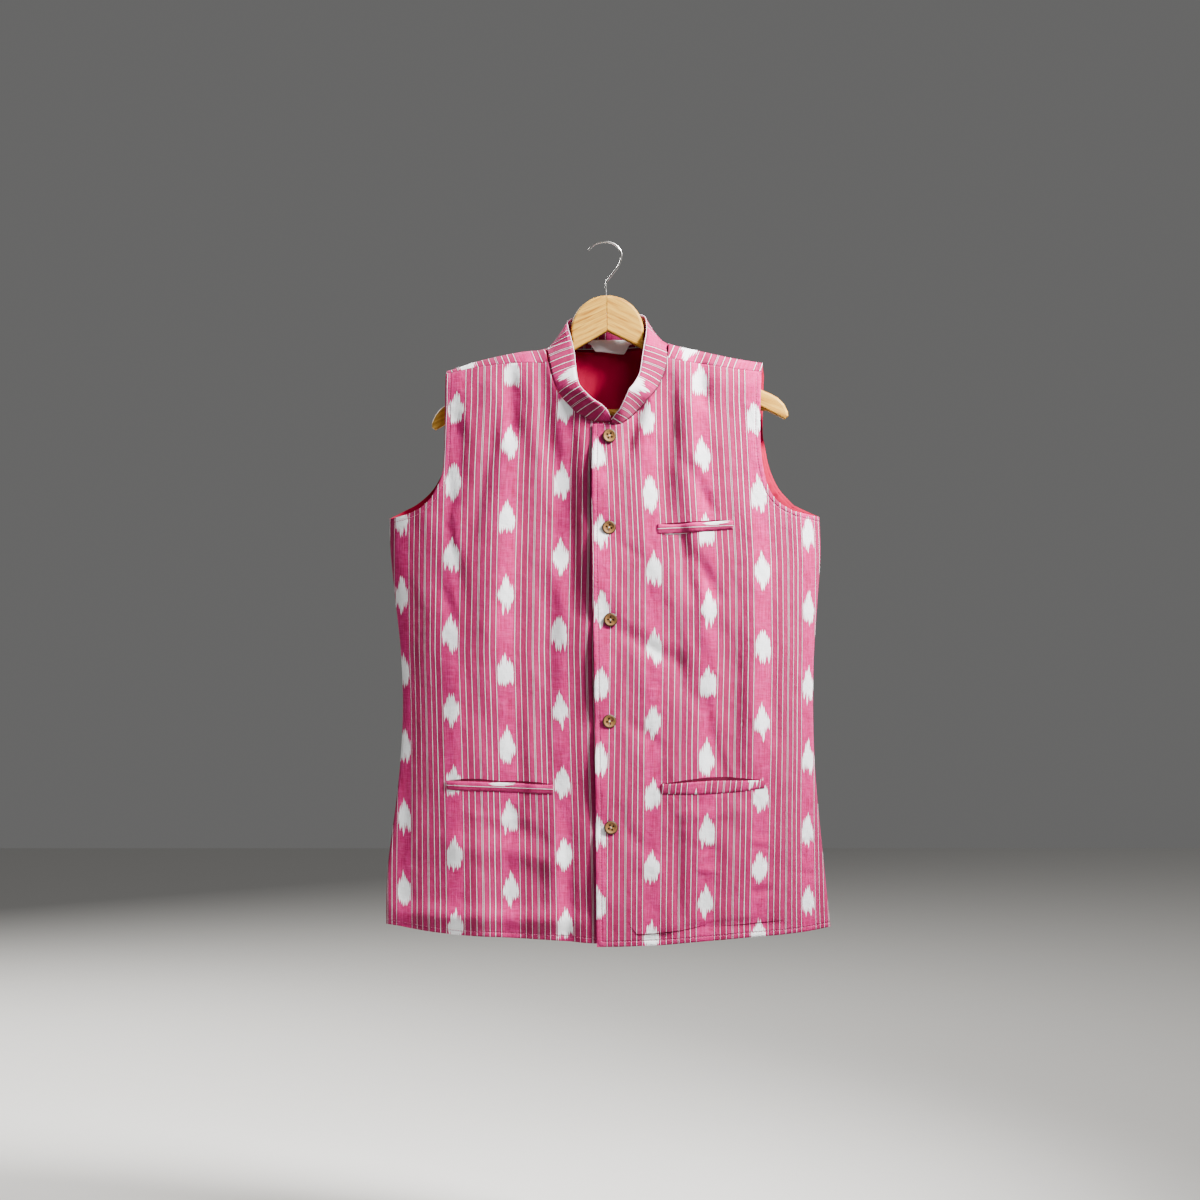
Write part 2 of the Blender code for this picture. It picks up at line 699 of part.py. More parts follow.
def make_label(material, collection):
    """A small satin strip hanging inside the back neck, its foot a little wavy."""
    bm = bmesh.new()
    x = np.linspace(LABEL_LEFT, LABEL_RIGHT, LABEL_COLUMNS + 1)
    z = np.full_like(x, LABEL_SEAT)
    y = body_y(x, z, shoulder_line(x), np.full_like(x, BACK), 0.0, False) - LABEL_STAND_OFF
    tops, feet = [], []
    for i in range(LABEL_COLUMNS + 1):
        turn = 2 * math.pi * i / LABEL_COLUMNS
        wave = math.sin(LABEL_WAVES * turn + LABEL_WAVE_START)
        foot = LABEL_TOP - LABEL_DROP + LABEL_WAVE * wave
        tops.append(bm.verts.new((x[i] * MM, y[i] * MM, LABEL_TOP * MM)))
        feet.append(bm.verts.new((x[i] * MM, y[i] * MM, foot * MM)))
    for i in range(LABEL_COLUMNS):
        bm.faces.new((tops[i], feet[i], feet[i + 1], tops[i + 1]))
    label = add_object("label", bmesh_to_mesh(bm, "label"), material, collection)
    wall = label.modifiers.new("wall", "SOLIDIFY")
    wall.thickness = LABEL_WALL * MM
    wall.offset = 1
    return label


def cylinder(name, radius, start, end, sides, collection, material=None):
    """A capped cylinder between two points, mm."""
    run = end - start
    bm = bmesh.new()
    bmesh.ops.create_cone(
        bm,
        cap_ends=True,
        segments=sides,
        radius1=radius * MM,
        radius2=radius * MM,
        depth=run.length * MM,
    )
    rod = add_object(name, bmesh_to_mesh(bm, name), material, collection)
    turn = run.to_track_quat("Z", "Y").to_matrix().to_4x4()
    rod.matrix_world = Matrix.Translation((start + end) / 2 * MM) @ turn
    return rod


def hide_cutter(cutter):
    cutter.hide_render = True
    cutter.display_type = "WIRE"
    return cutter


def cut_with(item, cutter):
    cut = item.modifiers.new("cut " + cutter.name, "BOOLEAN")
    cut.operation = "DIFFERENCE"
    cut.object = cutter


def button_mesh(cutters):
    """One turned button with its four holes."""
    bm = bmesh.new()
    verts = [bm.verts.new((p.radius * MM, 0.0, p.height * MM)) for p in BUTTON_PROFILE]
    for start, end in zip(verts, verts[1:]):
        bm.edges.new((start, end))
    mesh = bpy.data.meshes.new("button")
    bm.to_mesh(mesh)
    bm.free()
    blank = add_object("button_blank", mesh, None, cutters)
    screw = blank.modifiers.new("turn", "SCREW")
    screw.steps = screw.render_steps = BUTTON_STEPS
    screw.use_merge_vertices = True
    screw.merge_threshold = 0.00001
    screw.use_normal_calculate = True
    for sign_x in (-1, 1):
        for sign_y in (-1, 1):
            spot = Vector((sign_x, sign_y, 0)) * BUTTON_HOLE_SPACING / 2
            start, end = spot - Vector((0, 0, HOLE_BELOW)), spot + Vector((0, 0, HOLE_ABOVE))
            name = f"button_hole_{sign_x}_{sign_y}"
            hole = cylinder(name, BUTTON_HOLE_RADIUS, start, end, BUTTON_HOLE_SIDES, cutters)
            cut_with(blank, hide_cutter(hole))
    hide_cutter(blank)
    bpy.context.view_layer.update()
    solid = bpy.data.meshes.new_from_object(blank.evaluated_get(bpy.context.evaluated_depsgraph_get()))
    solid.shade_smooth()
    solid.set_sharp_from_angle(angle=math.radians(40))
    return solid


def front_slope(x, z):
    """The front's outward normal at x and z, from its form."""
    step = SLOPE_STEP
    spots = np.array([(x, z), (x + step, z), (x, z + step)])
    y = body_y(spots[:, 0], spots[:, 1], shoulder_line(spots[:, 0]), np.full(3, FRONT), 0.0, False)
    return Vector((y[0], (y[1] - y[0]) / step, (y[2] - y[0]) / step))


def make_buttons(material, collection, cutters):
    mesh = button_mesh(cutters)
    mesh.materials.append(material)
    for number, spot in enumerate(BUTTON_PLACES, start=1):
        y, slope_x, slope_z = front_slope(spot.x, spot.z)
        outward = Vector((slope_x, -1.0, slope_z)).normalized()
        button = bpy.data.objects.new(f"button_{number}", mesh)
        collection.objects.link(button)
        lift = Vector((spot.x, y, spot.z)) + outward * BUTTON_LIFT
        turn = outward.to_track_quat("Z", "Y").to_matrix().to_4x4()
        button.matrix_world = Matrix.Translation(lift * MM) @ turn


def hanger_outline():
    """The board's outline about the head's centre: the head's arc, both arms and the V beneath."""
    top_at_centre = TOP_AT_NECK.z + TOP_SLOPE * TOP_AT_NECK.x
    # Where the arm's straight top meets the round head.
    a = 1 + TOP_SLOPE**2
    b = -2 * TOP_SLOPE * top_at_centre
    c = top_at_centre**2 - HEAD_RADIUS**2
    meet_x = (-b + math.sqrt(b * b - 4 * a * c)) / (2 * a)
    meet = math.atan2(top_at_centre - TOP_SLOPE * meet_x, meet_x)
    turns = np.linspace(math.pi / 2, meet, HEAD_STEPS)[1:]
    half = [(HEAD_RADIUS * math.cos(t), HEAD_RADIUS * math.sin(t)) for t in turns]
    half += [(p.x, p.z) for p in ARM_TIP]
    mirrored = [(-x, z) for x, z in reversed(half)]
    return [(0.0, HEAD_RADIUS)] + half + [(0.0, UNDERSIDE_PEAK)] + mirrored


def board_mesh():
    """The whole hanger board, as a flat curve with rounded edges."""
    curve = bpy.data.curves.new("hanger_board", "CURVE")
    curve.dimensions = "2D"
    curve.fill_mode = "BOTH"
    curve.extrude = (BOARD_THICKNESS / 2 - BOARD_ROUND) * MM
    curve.bevel_depth = BOARD_ROUND * MM
    curve.bevel_resolution = BOARD_ROUND_STEPS - 1
    curve.offset = -BOARD_ROUND * MM
    outline = hanger_outline()
    spline = curve.splines.new("POLY")
    spline.points.add(len(outline) - 1)
    for point, (x, z) in zip(spline.points, outline):
        point.co = (x * MM, z * MM, 0.0, 1.0)
    spline.use_cyclic_u = True
    flat = bpy.data.objects.new("hanger_board", curve)
    bpy.context.scene.collection.objects.link(flat)
    bpy.context.view_layer.update()
    mesh = bpy.data.meshes.new_from_object(flat.evaluated_get(bpy.context.evaluated_depsgraph_get()))
    bpy.data.objects.remove(flat, do_unlink=True)
    mesh.transform(Matrix.Rotation(math.radians(90), 4, "X"))
    return mesh


def make_hanger(material, collection, cutters):
    """Two halves parted by a thin joint under the hook, with a dowel let into both arms."""
    frame = bpy.data.objects.new("hanger_frame", None)
    frame.location = HANGER_CENTRE * MM
    frame.rotation_euler.y = HANGER_TILT
    collection.objects.link(frame)
    board = board_mesh()
    ends = Vector((BAR_HALF_LENGTH, 0, BAR_DROP)), Vector((-BAR_HALF_LENGTH, 0, BAR_DROP))
    room = Vector((SEAM_GAP, 0, 0))
    bar = cylinder("hanger_bar", BAR_RADIUS, ends[1], ends[0], BAR_SIDES, collection, material)
    socket = cylinder(
        "bar_socket", BAR_RADIUS + SEAM_GAP, ends[1] - room, ends[0] + room, BAR_SIDES, cutters
    )
    shank_ends = [Vector((p.x, 0, p.z)) for p in (SHANK_TOP, SHANK_END)]
    shank = cylinder("shank_hole", WIRE_RADIUS + SEAM_GAP, *shank_ends, BUTTON_HOLE_SIDES, cutters)
    hide_cutter(socket)
    hide_cutter(shank)
    for item in (bar, socket):
        item.parent = frame
    for name, sign in (("right", -1), ("left", 1)):
        bm = bmesh.new()
        bm.from_mesh(board)
        bmesh.ops.remove_doubles(bm, verts=bm.verts, dist=0.01 * MM)
        parts = bm.verts[:] + bm.edges[:] + bm.faces[:]
        cut = bmesh.ops.bisect_plane(
            bm,
            geom=parts,
            plane_co=(sign * SEAM_GAP / 2 * MM, 0, 0),
            plane_no=(-sign, 0, 0),
            clear_outer=True,
        )["geom_cut"]
        edges = [e for e in cut if isinstance(e, bmesh.types.BMEdge)]
        bmesh.ops.holes_fill(bm, edges=edges)
        node = "hanger_arm_" + name
        arm = add_object(node, bmesh_to_mesh(bm, node), material, collection)
        arm.parent = frame
        cut_with(arm, socket)
        cut_with(arm, shank)


def make_hook(material, collection):
    """A bent wire hook whose straight end sits in the hole between the halves."""
    curve = bpy.data.curves.new("hook", "CURVE")
    curve.dimensions = "3D"
    curve.bevel_depth = WIRE_RADIUS * MM
    curve.bevel_resolution = 2
    curve.use_fill_caps = True
    route = smooth_curve(HOOK_ROUTE, HOOK_CURVE_STEPS)
    spline = curve.splines.new("POLY")
    spline.points.add(len(route) - 1)
    for point, (x, z) in zip(spline.points, route):
        point.co = (x * MM, 0.0, z * MM, 1.0)
    hook = add_object("hook", curve, material, collection)
    return hook


def main():
    clear_scene()
    jacket = new_collection("nehru_jacket")
    cutters = new_collection("cutters", hidden=True)
    finish = {name: make_material(name) for name in FINISHES}
    for name in ("left", "right"):
        make_front(name, finish["jacket_cloth"], jacket)
    make_back(finish["jacket_cloth"], jacket)
    make_back_lining(finish["lining_cloth"], jacket)
    make_collar(finish["jacket_cloth"], jacket)
    for name in WELTS:
        make_welt(name, finish["jacket_cloth"], jacket)
    make_label(finish["label_satin"], jacket)
    make_buttons(finish["button_shell"], jacket, cutters)
    make_hanger(finish["pale_wood"], jacket, cutters)
    make_hook(finish["steel_wire"], jacket)


main()
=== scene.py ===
# %% [markdown]
# # A nehru jacket on a wooden hanger
# A nehru jacket is a sleeveless waistcoat with a stand collar, sewn from striped ikat cotton and
# lined with red cloth. It hangs closed on a flat wooden hanger with a wire hook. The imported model
# gives the frame: where each panel, button and hanger part is. This lesson dresses that frame.
# Cloth panels are made again as finer walls on the same form, because a coarse solid can't carry
# creases, while the hanger's wooden parts are already the right shape and only get a finish.

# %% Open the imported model
import math
from collections import namedtuple

import bmesh
import bpy
import numpy as np
from mathutils import Matrix, Vector


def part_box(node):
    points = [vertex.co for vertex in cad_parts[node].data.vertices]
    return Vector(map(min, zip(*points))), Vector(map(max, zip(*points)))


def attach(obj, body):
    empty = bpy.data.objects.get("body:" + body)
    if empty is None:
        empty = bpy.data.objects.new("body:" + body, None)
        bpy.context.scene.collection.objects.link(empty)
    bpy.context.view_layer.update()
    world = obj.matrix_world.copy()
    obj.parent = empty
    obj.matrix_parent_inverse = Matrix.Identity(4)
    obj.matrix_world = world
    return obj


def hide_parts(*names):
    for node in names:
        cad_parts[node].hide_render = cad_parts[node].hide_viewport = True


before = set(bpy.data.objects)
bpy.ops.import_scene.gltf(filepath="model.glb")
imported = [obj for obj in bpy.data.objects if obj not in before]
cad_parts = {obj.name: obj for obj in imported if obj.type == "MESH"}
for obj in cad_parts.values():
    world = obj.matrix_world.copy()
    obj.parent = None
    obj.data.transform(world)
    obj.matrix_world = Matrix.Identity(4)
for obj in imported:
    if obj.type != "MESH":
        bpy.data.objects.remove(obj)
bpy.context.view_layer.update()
print("nodes:", sorted(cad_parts))

# %% [markdown]
# ## Camera and light
# A jacket on a hanger is looked at straight on and from far away, so that both sides keep their
# size. A long lens does that. A small lamp close by on the right rakes across the cloth, which
# leaves each fold's left flank in shade. Its beam is narrow, to keep it off most of the floor. A
# broad lamp in front, another behind and a dim sky fill what it doesn't reach.

# %% Camera
EYE = Vector((-0.0074, -3.51, -0.444))
LENS, SENSOR, FARTHEST = 84.7, 36, 30


def link_object(name, data):
    made = bpy.data.objects.new(name, data)
    bpy.context.scene.collection.objects.link(made)
    return made


camera = link_object("camera", bpy.data.cameras.new("camera"))
camera.data.lens, camera.data.sensor_width, camera.data.clip_end = LENS, SENSOR, FARTHEST
camera.location = EYE
camera.rotation_euler = (math.radians(90), 0, 0)
bpy.context.scene.camera = camera
print("camera sees", round(SENSOR / LENS * -EYE.y, 3), "m at the hook")

# %% Lamps and sky
Lamp = namedtuple("Lamp", "at towards size spread watts colour")
LAMPS = {
    "key": Lamp((1.05, -0.65, 0.8), (0.1, 0, -0.38), 0.4, 60, 24.5, (1, 0.99, 0.97)),
    "front": Lamp((1.1, -2, 1.7), (0, 0, -0.5), 1.2, 180, 45, (1, 0.99, 0.98)),
    "behind": Lamp((-1.9, 2.1, 1.1), (0, 0, -0.5), 1.2, 180, 150, (1, 0.98, 0.95)),
}
SKY_COLOUR, SKY_STRENGTH = (0.93, 0.925, 0.915, 1), 0.15

for name, lamp in LAMPS.items():
    light = bpy.data.lights.new(name, "AREA")
    light.shape, light.size, light.spread = "DISK", lamp.size, math.radians(lamp.spread)
    light.energy, light.color = lamp.watts, lamp.colour
    spot = link_object(name, light)
    spot.location = lamp.at
    aim = Vector(lamp.towards) - spot.location
    spot.rotation_euler = aim.to_track_quat("-Z", "Y").to_euler()

sky = bpy.data.worlds.new("sky")
sky.use_nodes = True
backdrop = sky.node_tree.nodes["Background"]
backdrop.inputs["Color"].default_value = SKY_COLOUR
backdrop.inputs["Strength"].default_value = SKY_STRENGTH
bpy.context.scene.world = sky

# %% [markdown]
# ## Writing a finish as sums
# A finish is a net of nodes, and a net of Math nodes is hard to read. So one small class wraps a
# number socket and answers Python's operators with the Math nodes they stand for, and a second
# one holds the material and adds any other node. Colours never pass through Math, which would
# turn them grey: they go through Mix.

# %% A number that can be reckoned with
def answer(operation, turned=False):
    """A method that adds one Math node. `turned` is for the number on an operator's right."""
    def method(*values):
        return values[0].finish.maths(operation, *(values[::-1] if turned else values))
    return method


class Number:
    """A number socket. Each operator adds the Math node that works it out."""

    def __init__(self, finish, socket):
        self.finish, self.socket = finish, socket

    __add__ = __radd__ = answer("ADD")
    __sub__, __rsub__ = answer("SUBTRACT"), answer("SUBTRACT", turned=True)
    __mul__ = __rmul__ = answer("MULTIPLY")
    __truediv__ = answer("DIVIDE")
    __lt__, __gt__ = answer("LESS_THAN"), answer("GREATER_THAN")
    __abs__, __round__, __floor__ = answer("ABSOLUTE"), answer("ROUND"), answer("FLOOR")
    fraction, wave = answer("FRACT"), answer("SINE")

    def limited(self):
        return self.finish.maths("MINIMUM", self.finish.maths("MAXIMUM", self, 0), 1)


# %% A finish and its nodes
def paint(red, green, blue):
    """The light that a screen colour of 0 to 255 stands for."""
    parts = [c / 255 for c in (red, green, blue)]
    return tuple(c / 12.92 if c < 0.04045 else ((c + 0.055) / 1.055) ** 2.4 for c in parts)


class Finish:
    """A material being wired up, with one method that adds any node."""

    def __init__(self, name, plain):
        self.material = bpy.data.materials.new(name)
        self.material.use_nodes = True
        self.tree = self.material.node_tree
        self.shader = self.tree.nodes["Principled BSDF"]
        for socket, value in plain.items():
            self.feed(self.shader.inputs[socket], value)

    def feed(self, socket, value):
        value = value.socket if isinstance(value, Number) else value
        if isinstance(value, bpy.types.NodeSocket):
            self.tree.links.new(value, socket)
        elif socket.type == "RGBA":
            socket.default_value = (*value, 1)
        else:
            socket.default_value = value

    def node(self, kind, settings=None, sockets=None, out=0):
        """Adds a node: its settings first, then its sockets. Numbers come back as Numbers."""
        made = self.tree.nodes.new(kind)
        for name, value in (settings or {}).items():
            setattr(made, name, value)
        for name, value in (sockets or {}).items():
            self.feed(made.inputs[name], value)
        socket = made.outputs[out]
        return Number(self, socket) if socket.type == "VALUE" else socket

    def maths(self, operation, *values):
        return self.node("ShaderNodeMath", {"operation": operation}, dict(enumerate(values)))

    def mix(self, share, first, second):
        return self.node("ShaderNodeMix", {"data_type": "RGBA"},
                         {0: share, 6: first, 7: second}, out=2)

    def vector(self, x, y, z=0):
        return self.node("ShaderNodeCombineXYZ", None, {0: x, 1: y, 2: z})

    def parts(self, vector):
        split = self.tree.nodes.new("ShaderNodeSeparateXYZ")
        self.feed(split.inputs[0], vector)
        return [Number(self, split.outputs[i]) for i in range(3)]

    def here(self):
        """Where a point lies on its piece, in metres."""
        return self.node("ShaderNodeTexCoord", out=3)

    def noted(self, name):
        """A number that the mesh notes at each point."""
        return self.node("ShaderNodeAttribute", {"attribute_name": name}, out=2)

    def ramp(self, stops, at, between="LINEAR"):
        """A number read off between the stops of a ramp."""
        made = self.tree.nodes.new("ShaderNodeValToRGB")
        made.color_ramp.interpolation = between
        for _ in stops[2:]:
            made.color_ramp.elements.new(0.5)
        for stop, (position, colour) in zip(made.color_ramp.elements, stops):
            stop.position, stop.color = position, colour
        self.feed(made.inputs[0], at)
        return Number(self, made.outputs[1])

    def noise(self, vector, scale=1, detail=2):
        return self.node("ShaderNodeTexNoise", None,
                         {"Vector": vector, "Scale": scale, "Detail": detail})

    def drawn(self, x, y, z=0, detail=2):
        """Noise stretched by how each coordinate is divided."""
        return self.noise(self.vector(x, y, z), 1, detail)

    def chance(self, x, y):
        """A number from 0 to 1 that is different for each whole x and y."""
        return self.node("ShaderNodeTexWhiteNoise", {"noise_dimensions": "2D"},
                         {"Vector": self.vector(x, y)})

    def finish(self, **varying):
        for socket, value in varying.items():
            self.feed(self.shader.inputs[socket.replace("_", " ")], value)
        return self.material

    def bump(self, height):
        """Relief from a height in millimetres."""
        return self.node("ShaderNodeBump", None, {"Distance": 0.001, "Height": height})


def grained(name, plain, light, dark, scale, detail=1, share=1, relief=None):
    """A finish of two colours and one fine grain, which is also its relief."""
    finish = Finish(name, plain)
    grain = finish.noise(finish.here(), scale, detail)
    shape = {"Normal": finish.bump(grain * relief)} if relief else {}
    return finish.finish(Base_Color=finish.mix(grain * share, light, dark), **shape)


# %% [markdown]
# ## The ikat cloth
# The cloth is handloom cotton. White and dark red warp threads make sets of seven stripes, the
# fourth one double, and between two sets lies a plain pink band. In ikat the warp yarns of that
# band are tied and dyed before weaving, and every yarn slips a little, so the white motifs end in
# ragged points. So the pattern is reckoned from where a point lies on the woven cloth, in
# millimetres across and along it. Each yarn gets its own chance number, which says how far the
# white runs along it, and a ramp over one repeat says where the stripes lie.

# %% Repeat of the cloth, mm
REPEAT = 68.2
MOTIF_REPEAT = 94.2
LINES = ((11.6, 0.32), (18.8, 0.29), (26.6, 0.29), (33.8, 0.3), (35.2, 0.3), (42.5, 0.29),
         (49.3, 0.29), (56.6, 0.32))
FIRST_LINE, LAST_LINE = LINES[0][0], LINES[-1][0]
TWIN_LINE, TWIN_REACH = 34.5, 1.6
YARN, STRAND = 0.62, 2.7
# How red the threads are by a line and midway to the next, in the reddest gap and in the others.
RED_GAP, IN_RED_GAP, ELSEWHERE = 1, (0.85, 0.8), (0.85, 0.55)


def bars(lines):
    """Stops of a ramp that is 1 on each line and 0 between them."""
    stops = [(0, (0, 0, 0, 0))]
    for middle, half in lines:
        stops.append(((middle - half) / REPEAT, (1, 1, 1, 1)))
        stops.append(((middle + half) / REPEAT, (0, 0, 0, 0)))
    return stops


def red_threads():
    """Stops of a ramp that is high beside each line and highest in the second gap."""
    low = high = FIRST_LINE
    stops = [(0, 0), (low - 2, 0), (low - 1, 0.5)]
    for gap, ((low, _), (high, _)) in enumerate(zip(LINES, LINES[1:])):
        if low < TWIN_LINE < high:
            continue
        edge, middle = IN_RED_GAP if gap == RED_GAP else ELSEWHERE
        stops += [(low + 1, edge), (low + 2.2, middle), (high - 2.2, middle), (high - 1, edge)]
    stops += [(high + 1, 0.5), (high + 2, 0)]
    return [(at / REPEAT, (k, k, k, k)) for at, k in stops]


# %% Where a point lies in the pattern
PINK, PINK_PALE, PINK_DEEP = paint(190, 36, 114), paint(204, 84, 142), paint(154, 12, 76)
MAROON = paint(112, 16, 54)
WHITE_YARN, SHADED_YARN = paint(230, 233, 236), paint(214, 212, 216)
GREY_YARN = paint(166, 164, 170)
# How far a motif's tip lies from its middle at the centre, less for each mm aside, and by chance.
SPIRE, BLUNT = (25, 1.9, 7), (21.6, 0.9, 12)
MOTIF_DROP, MOTIF_HALF, NOTCH, FRAY, END_SHARPNESS = 2.8, 9.7, 6.5, 3.2, 0.7
SEAM_ROLL, STITCH_INSET = 2.6, 6


def motif_mask(cloth, u, v):
    """1 inside the white motifs, whose ends are ragged yarn by yarn."""
    turn = u / REPEAT
    band = round(turn)
    aside = abs((turn - band) * REPEAT)
    odd = (band / 2).fraction()
    row = round(v / MOTIF_REPEAT - odd)
    away = v - (row + odd) * MOTIF_REPEAT + MOTIF_DROP
    upper = away > 0
    end = row * 2 + upper
    bundle = math.floor(u / STRAND)
    strand = cloth.chance(bundle, end + band * 7)
    yarn = cloth.chance(math.floor(u / YARN), end + band * 3)
    middle = abs(((bundle + 0.5) * STRAND / REPEAT - band) * REPEAT)
    notch = abs((u / STRAND).fraction() - 0.5) * 2 * NOTCH
    spire, blunt = (most - middle * slope + (strand - 0.5) * spread
                    for most, slope, spread in (SPIRE, BLUNT))
    reach = blunt + (spire - blunt) * upper - notch + (yarn - 0.5) * FRAY
    inside = ((reach - abs(away)) * END_SHARPNESS + 0.5).limited()
    return inside * (aside < MOTIF_HALF) * (cloth.noted("bare") < 0.5)


def seam_relief(cloth, u, v):
    """Cloth rolled at its seams, and dinted along the topstitching, in mm."""
    edge, stitch = cloth.noted("edge") * 1000, cloth.noted("stitch") * 1000
    roll = (edge / SEAM_ROLL).limited()
    dint = (1 - abs(stitch - STITCH_INSET) / 1.5).limited()
    pucker = cloth.drawn(u / 5, v / 5, detail=1)
    near = (1 - abs(stitch - 5) / 7).limited()
    return roll * (2 - roll) * 0.9 - dint * 0.8 + near * (pucker - 0.5) * 1.3


def ikat_cloth():
    cloth = Finish("jacket_cloth", {"Roughness": 0.88, "Specular IOR Level": 0.2,
                                    "Sheen Weight": 0.04})
    x, y, _ = cloth.parts(cloth.node("ShaderNodeUVMap", {"uv_map": "cloth"}))
    u, v = x * 1000, y * 1000
    share = (u / REPEAT).fraction()
    white = cloth.ramp(bars(LINES), share, between="CONSTANT")
    shade = cloth.ramp(red_threads(), share)
    streak = cloth.drawn(u, v / 34)
    slub = cloth.drawn(u / 15, v / 0.9)
    mottle = cloth.drawn(u / 9, v / 7, detail=3)
    tone = ((streak - 0.5) * 3 + (slub - 0.5) * 1.8 + 0.45).limited()
    pink = cloth.mix(tone, PINK_DEEP, PINK)
    pink = cloth.mix(((mottle - 0.45) * 1.8).limited() * 0.45, pink, PINK_PALE)
    fleck = (streak - 0.5) * 1.6 + (slub - 0.5) * 0.8 + 1
    striped = cloth.mix((shade * fleck).limited() * 0.85, pink, MAROON)
    pale = cloth.mix(((slub - 0.35) * 2.2).limited() * 0.7, WHITE_YARN, GREY_YARN)
    twin = abs(share * REPEAT - TWIN_LINE) < TWIN_REACH
    pale = cloth.mix(twin * 0.75, pale, GREY_YARN)
    bare = cloth.mix(((streak - 0.45) * 2.5).limited() * 0.3, WHITE_YARN, SHADED_YARN)
    colour = cloth.mix(motif_mask(cloth, u, v), striped, bare)
    colour = cloth.mix(white * 0.93, colour, pale)
    over = cloth.maths("PINGPONG", math.floor(u / YARN) + math.floor(v / YARN), 1)
    warp, weft = (abs((way * (math.pi / YARN)).wave()) for way in (u, v))
    weave = warp * over + weft * (1 - over)
    crumple = cloth.drawn(u / 26, v / 38, detail=3)
    height = weave * 0.10 + (slub - 0.5) * 0.22 + (streak - 0.5) * 0.12 + white * 0.10
    height = height + (crumple - 0.5) * 3 + (mottle - 0.5) * 0.5 + seam_relief(cloth, u, v)
    return cloth.finish(Base_Color=colour, Normal=cloth.bump(height))


# %% Finish of the panels
CLOTH = ikat_cloth()
print("cloth finish has", len(CLOTH.node_tree.nodes), "nodes")

# %% [markdown]
# ## The red lining
# The back is lined with a thin, smooth red cloth, which shows through the neck and the armholes.
# It takes soft lights along its small creases. A fine weave alone would look flat, so broad, low
# ripples are added to the relief. Its red is also painted lighter on their crests and darker in
# their hollows, as painted light and shade.

# %% Finish of the lining
def lining_cloth():
    lining = Finish("lining_cloth", {"Roughness": 0.8, "Specular IOR Level": 0.08})
    x, _, z = lining.parts(lining.here())
    ripple = lining.drawn(x * 26, z * 9)
    crumple = lining.drawn(x * 70, z * 55)
    thread = lining.drawn(x * 2600, z * 700, detail=1)
    # Painted light and shade: the red is lighter where the ripple rises and darker where it sinks.
    colour = lining.mix(((ripple - 0.5) * 1.4 + 0.5).limited(), paint(142, 0, 44),
                        paint(172, 0, 58))
    colour = lining.mix(thread * 0.25, colour, paint(112, 0, 32))
    height = (ripple - 0.5) * 6 + (crumple - 0.5) * 1.2 + (thread - 0.5) * 0.06
    return lining.finish(Base_Color=colour, Normal=lining.bump(height))


LINING = lining_cloth()

# %% [markdown]
# ## The form of the hanging body
# Front and back are drawn as flat pattern pieces and then folded round the hanger, the way the
# cloth itself is. `place` does that folding, so that pieces that meet share one form. The tables
# are the ones that the solids were made from, in millimetres: how wide and deep the body is down
# its length, the line over the shoulders, and the hem.

# %% Tables of the body, mm
MM = 0.001
CLOTH_WALL, LINING_WALL, LINING_GAP = 2, 1, 1.6
COLLAR_WALL, COLLAR_LIFT = 2.2, 0.3
FOOT_DIP, FOOT_DIP_AT, FOOT_DIP_WIDTH = 2, -37, 9
WELT_WALL, WELT_LIFT, SEAM_GAP = 1.6, 0.3, 0.3
WELT_FOOT, WELT_RISE, MOUTH_LIFT, MOUTH_SUNK = 0.3, 6, 0.35, 0.3
FRONT, BACK = -1.0, 1.0
HALF_WIDTH, HEIGHT = 270, 740
FLATNESS, SOFTNESS, SHOULDER_ROUND = 2.6, 0.75, 40
VENT_TOP, VENT_FOOT, VENT_SPREAD = -764, -850, 4

# z, right side, left side, front depth, back depth
BODY = np.array((
    (-880, 272.8, 280.5, 33, 29), (-853, 272.8, 279, 33, 29), (-816, 272.8, 275.3, 32.5, 28.5),
    (-779, 271.6, 271.6, 32, 28), (-729, 265.4, 266.6, 32, 28), (-692, 260.4, 262.9, 32, 28),
    (-642, 255.4, 259.2, 32.5, 28), (-593, 252.6, 257.6, 33, 28.5), (-518, 254.2, 258.2, 35, 31),
    (-444, 261.6, 262.9, 37, 33), (-382, 267.8, 266.6, 38, 34), (-344, 269.1, 265.4, 38, 34),
    (-224, 266, 264, 36, 32), (-100, 264, 262, 27, 27),
))
SHOULDERS = np.array((
    (-280, -170), (-200.9, -160), (-156, -146.3), (-104, -135.5), (-75.6, -131.6), (-45, -114),
    (0, -100), (45, -108), (78.1, -125.2), (111.6, -133.4), (172.4, -146), (198.4, -150),
    (280, -160),
))
HEM = np.array((
    (-280, -843), (-255.4, -847.9), (-193.4, -856.6), (-131.4, -860.3), (-69.4, -864),
    (-13.6, -867.5), (42.2, -870.2), (116.6, -865.2), (178.6, -860.3), (240.6, -855.3),
    (280, -849),
))
BACK_HEM_RISE, LINING_HEM, LINING_TOP, LINING_REACH = 4, 16, -7, 260
BUTTONS = ((4.3, -241.8), (3.7, -354.6), (5.6, -468.1), (4.3, -593.3), (6.2, -724.2))
TUCKS = np.array((
    (-900, 9), (-760, 8), (-700, 6.5), (-640, 6), (-600, 8), (-560, 7.5), (-490, 8), (-450, 10),
    (-400, 11), (-330, 10), (-280, 7.5), (-226, 2.6), (-180, 0.8), (-120, 0),
))
TUCK_FROM, TUCK_TO, TUCK_TURN, TUCK_END = -158, -98, -74, -24
LAP_ROOM, ROOM_FROM, ROOM_TO, NECK_FOOT, NECK_TOP = 2.5, -34, -20, -268, -228
LAP_LIFT, LAP_FROM, LAP_TO = 6, 26, -16


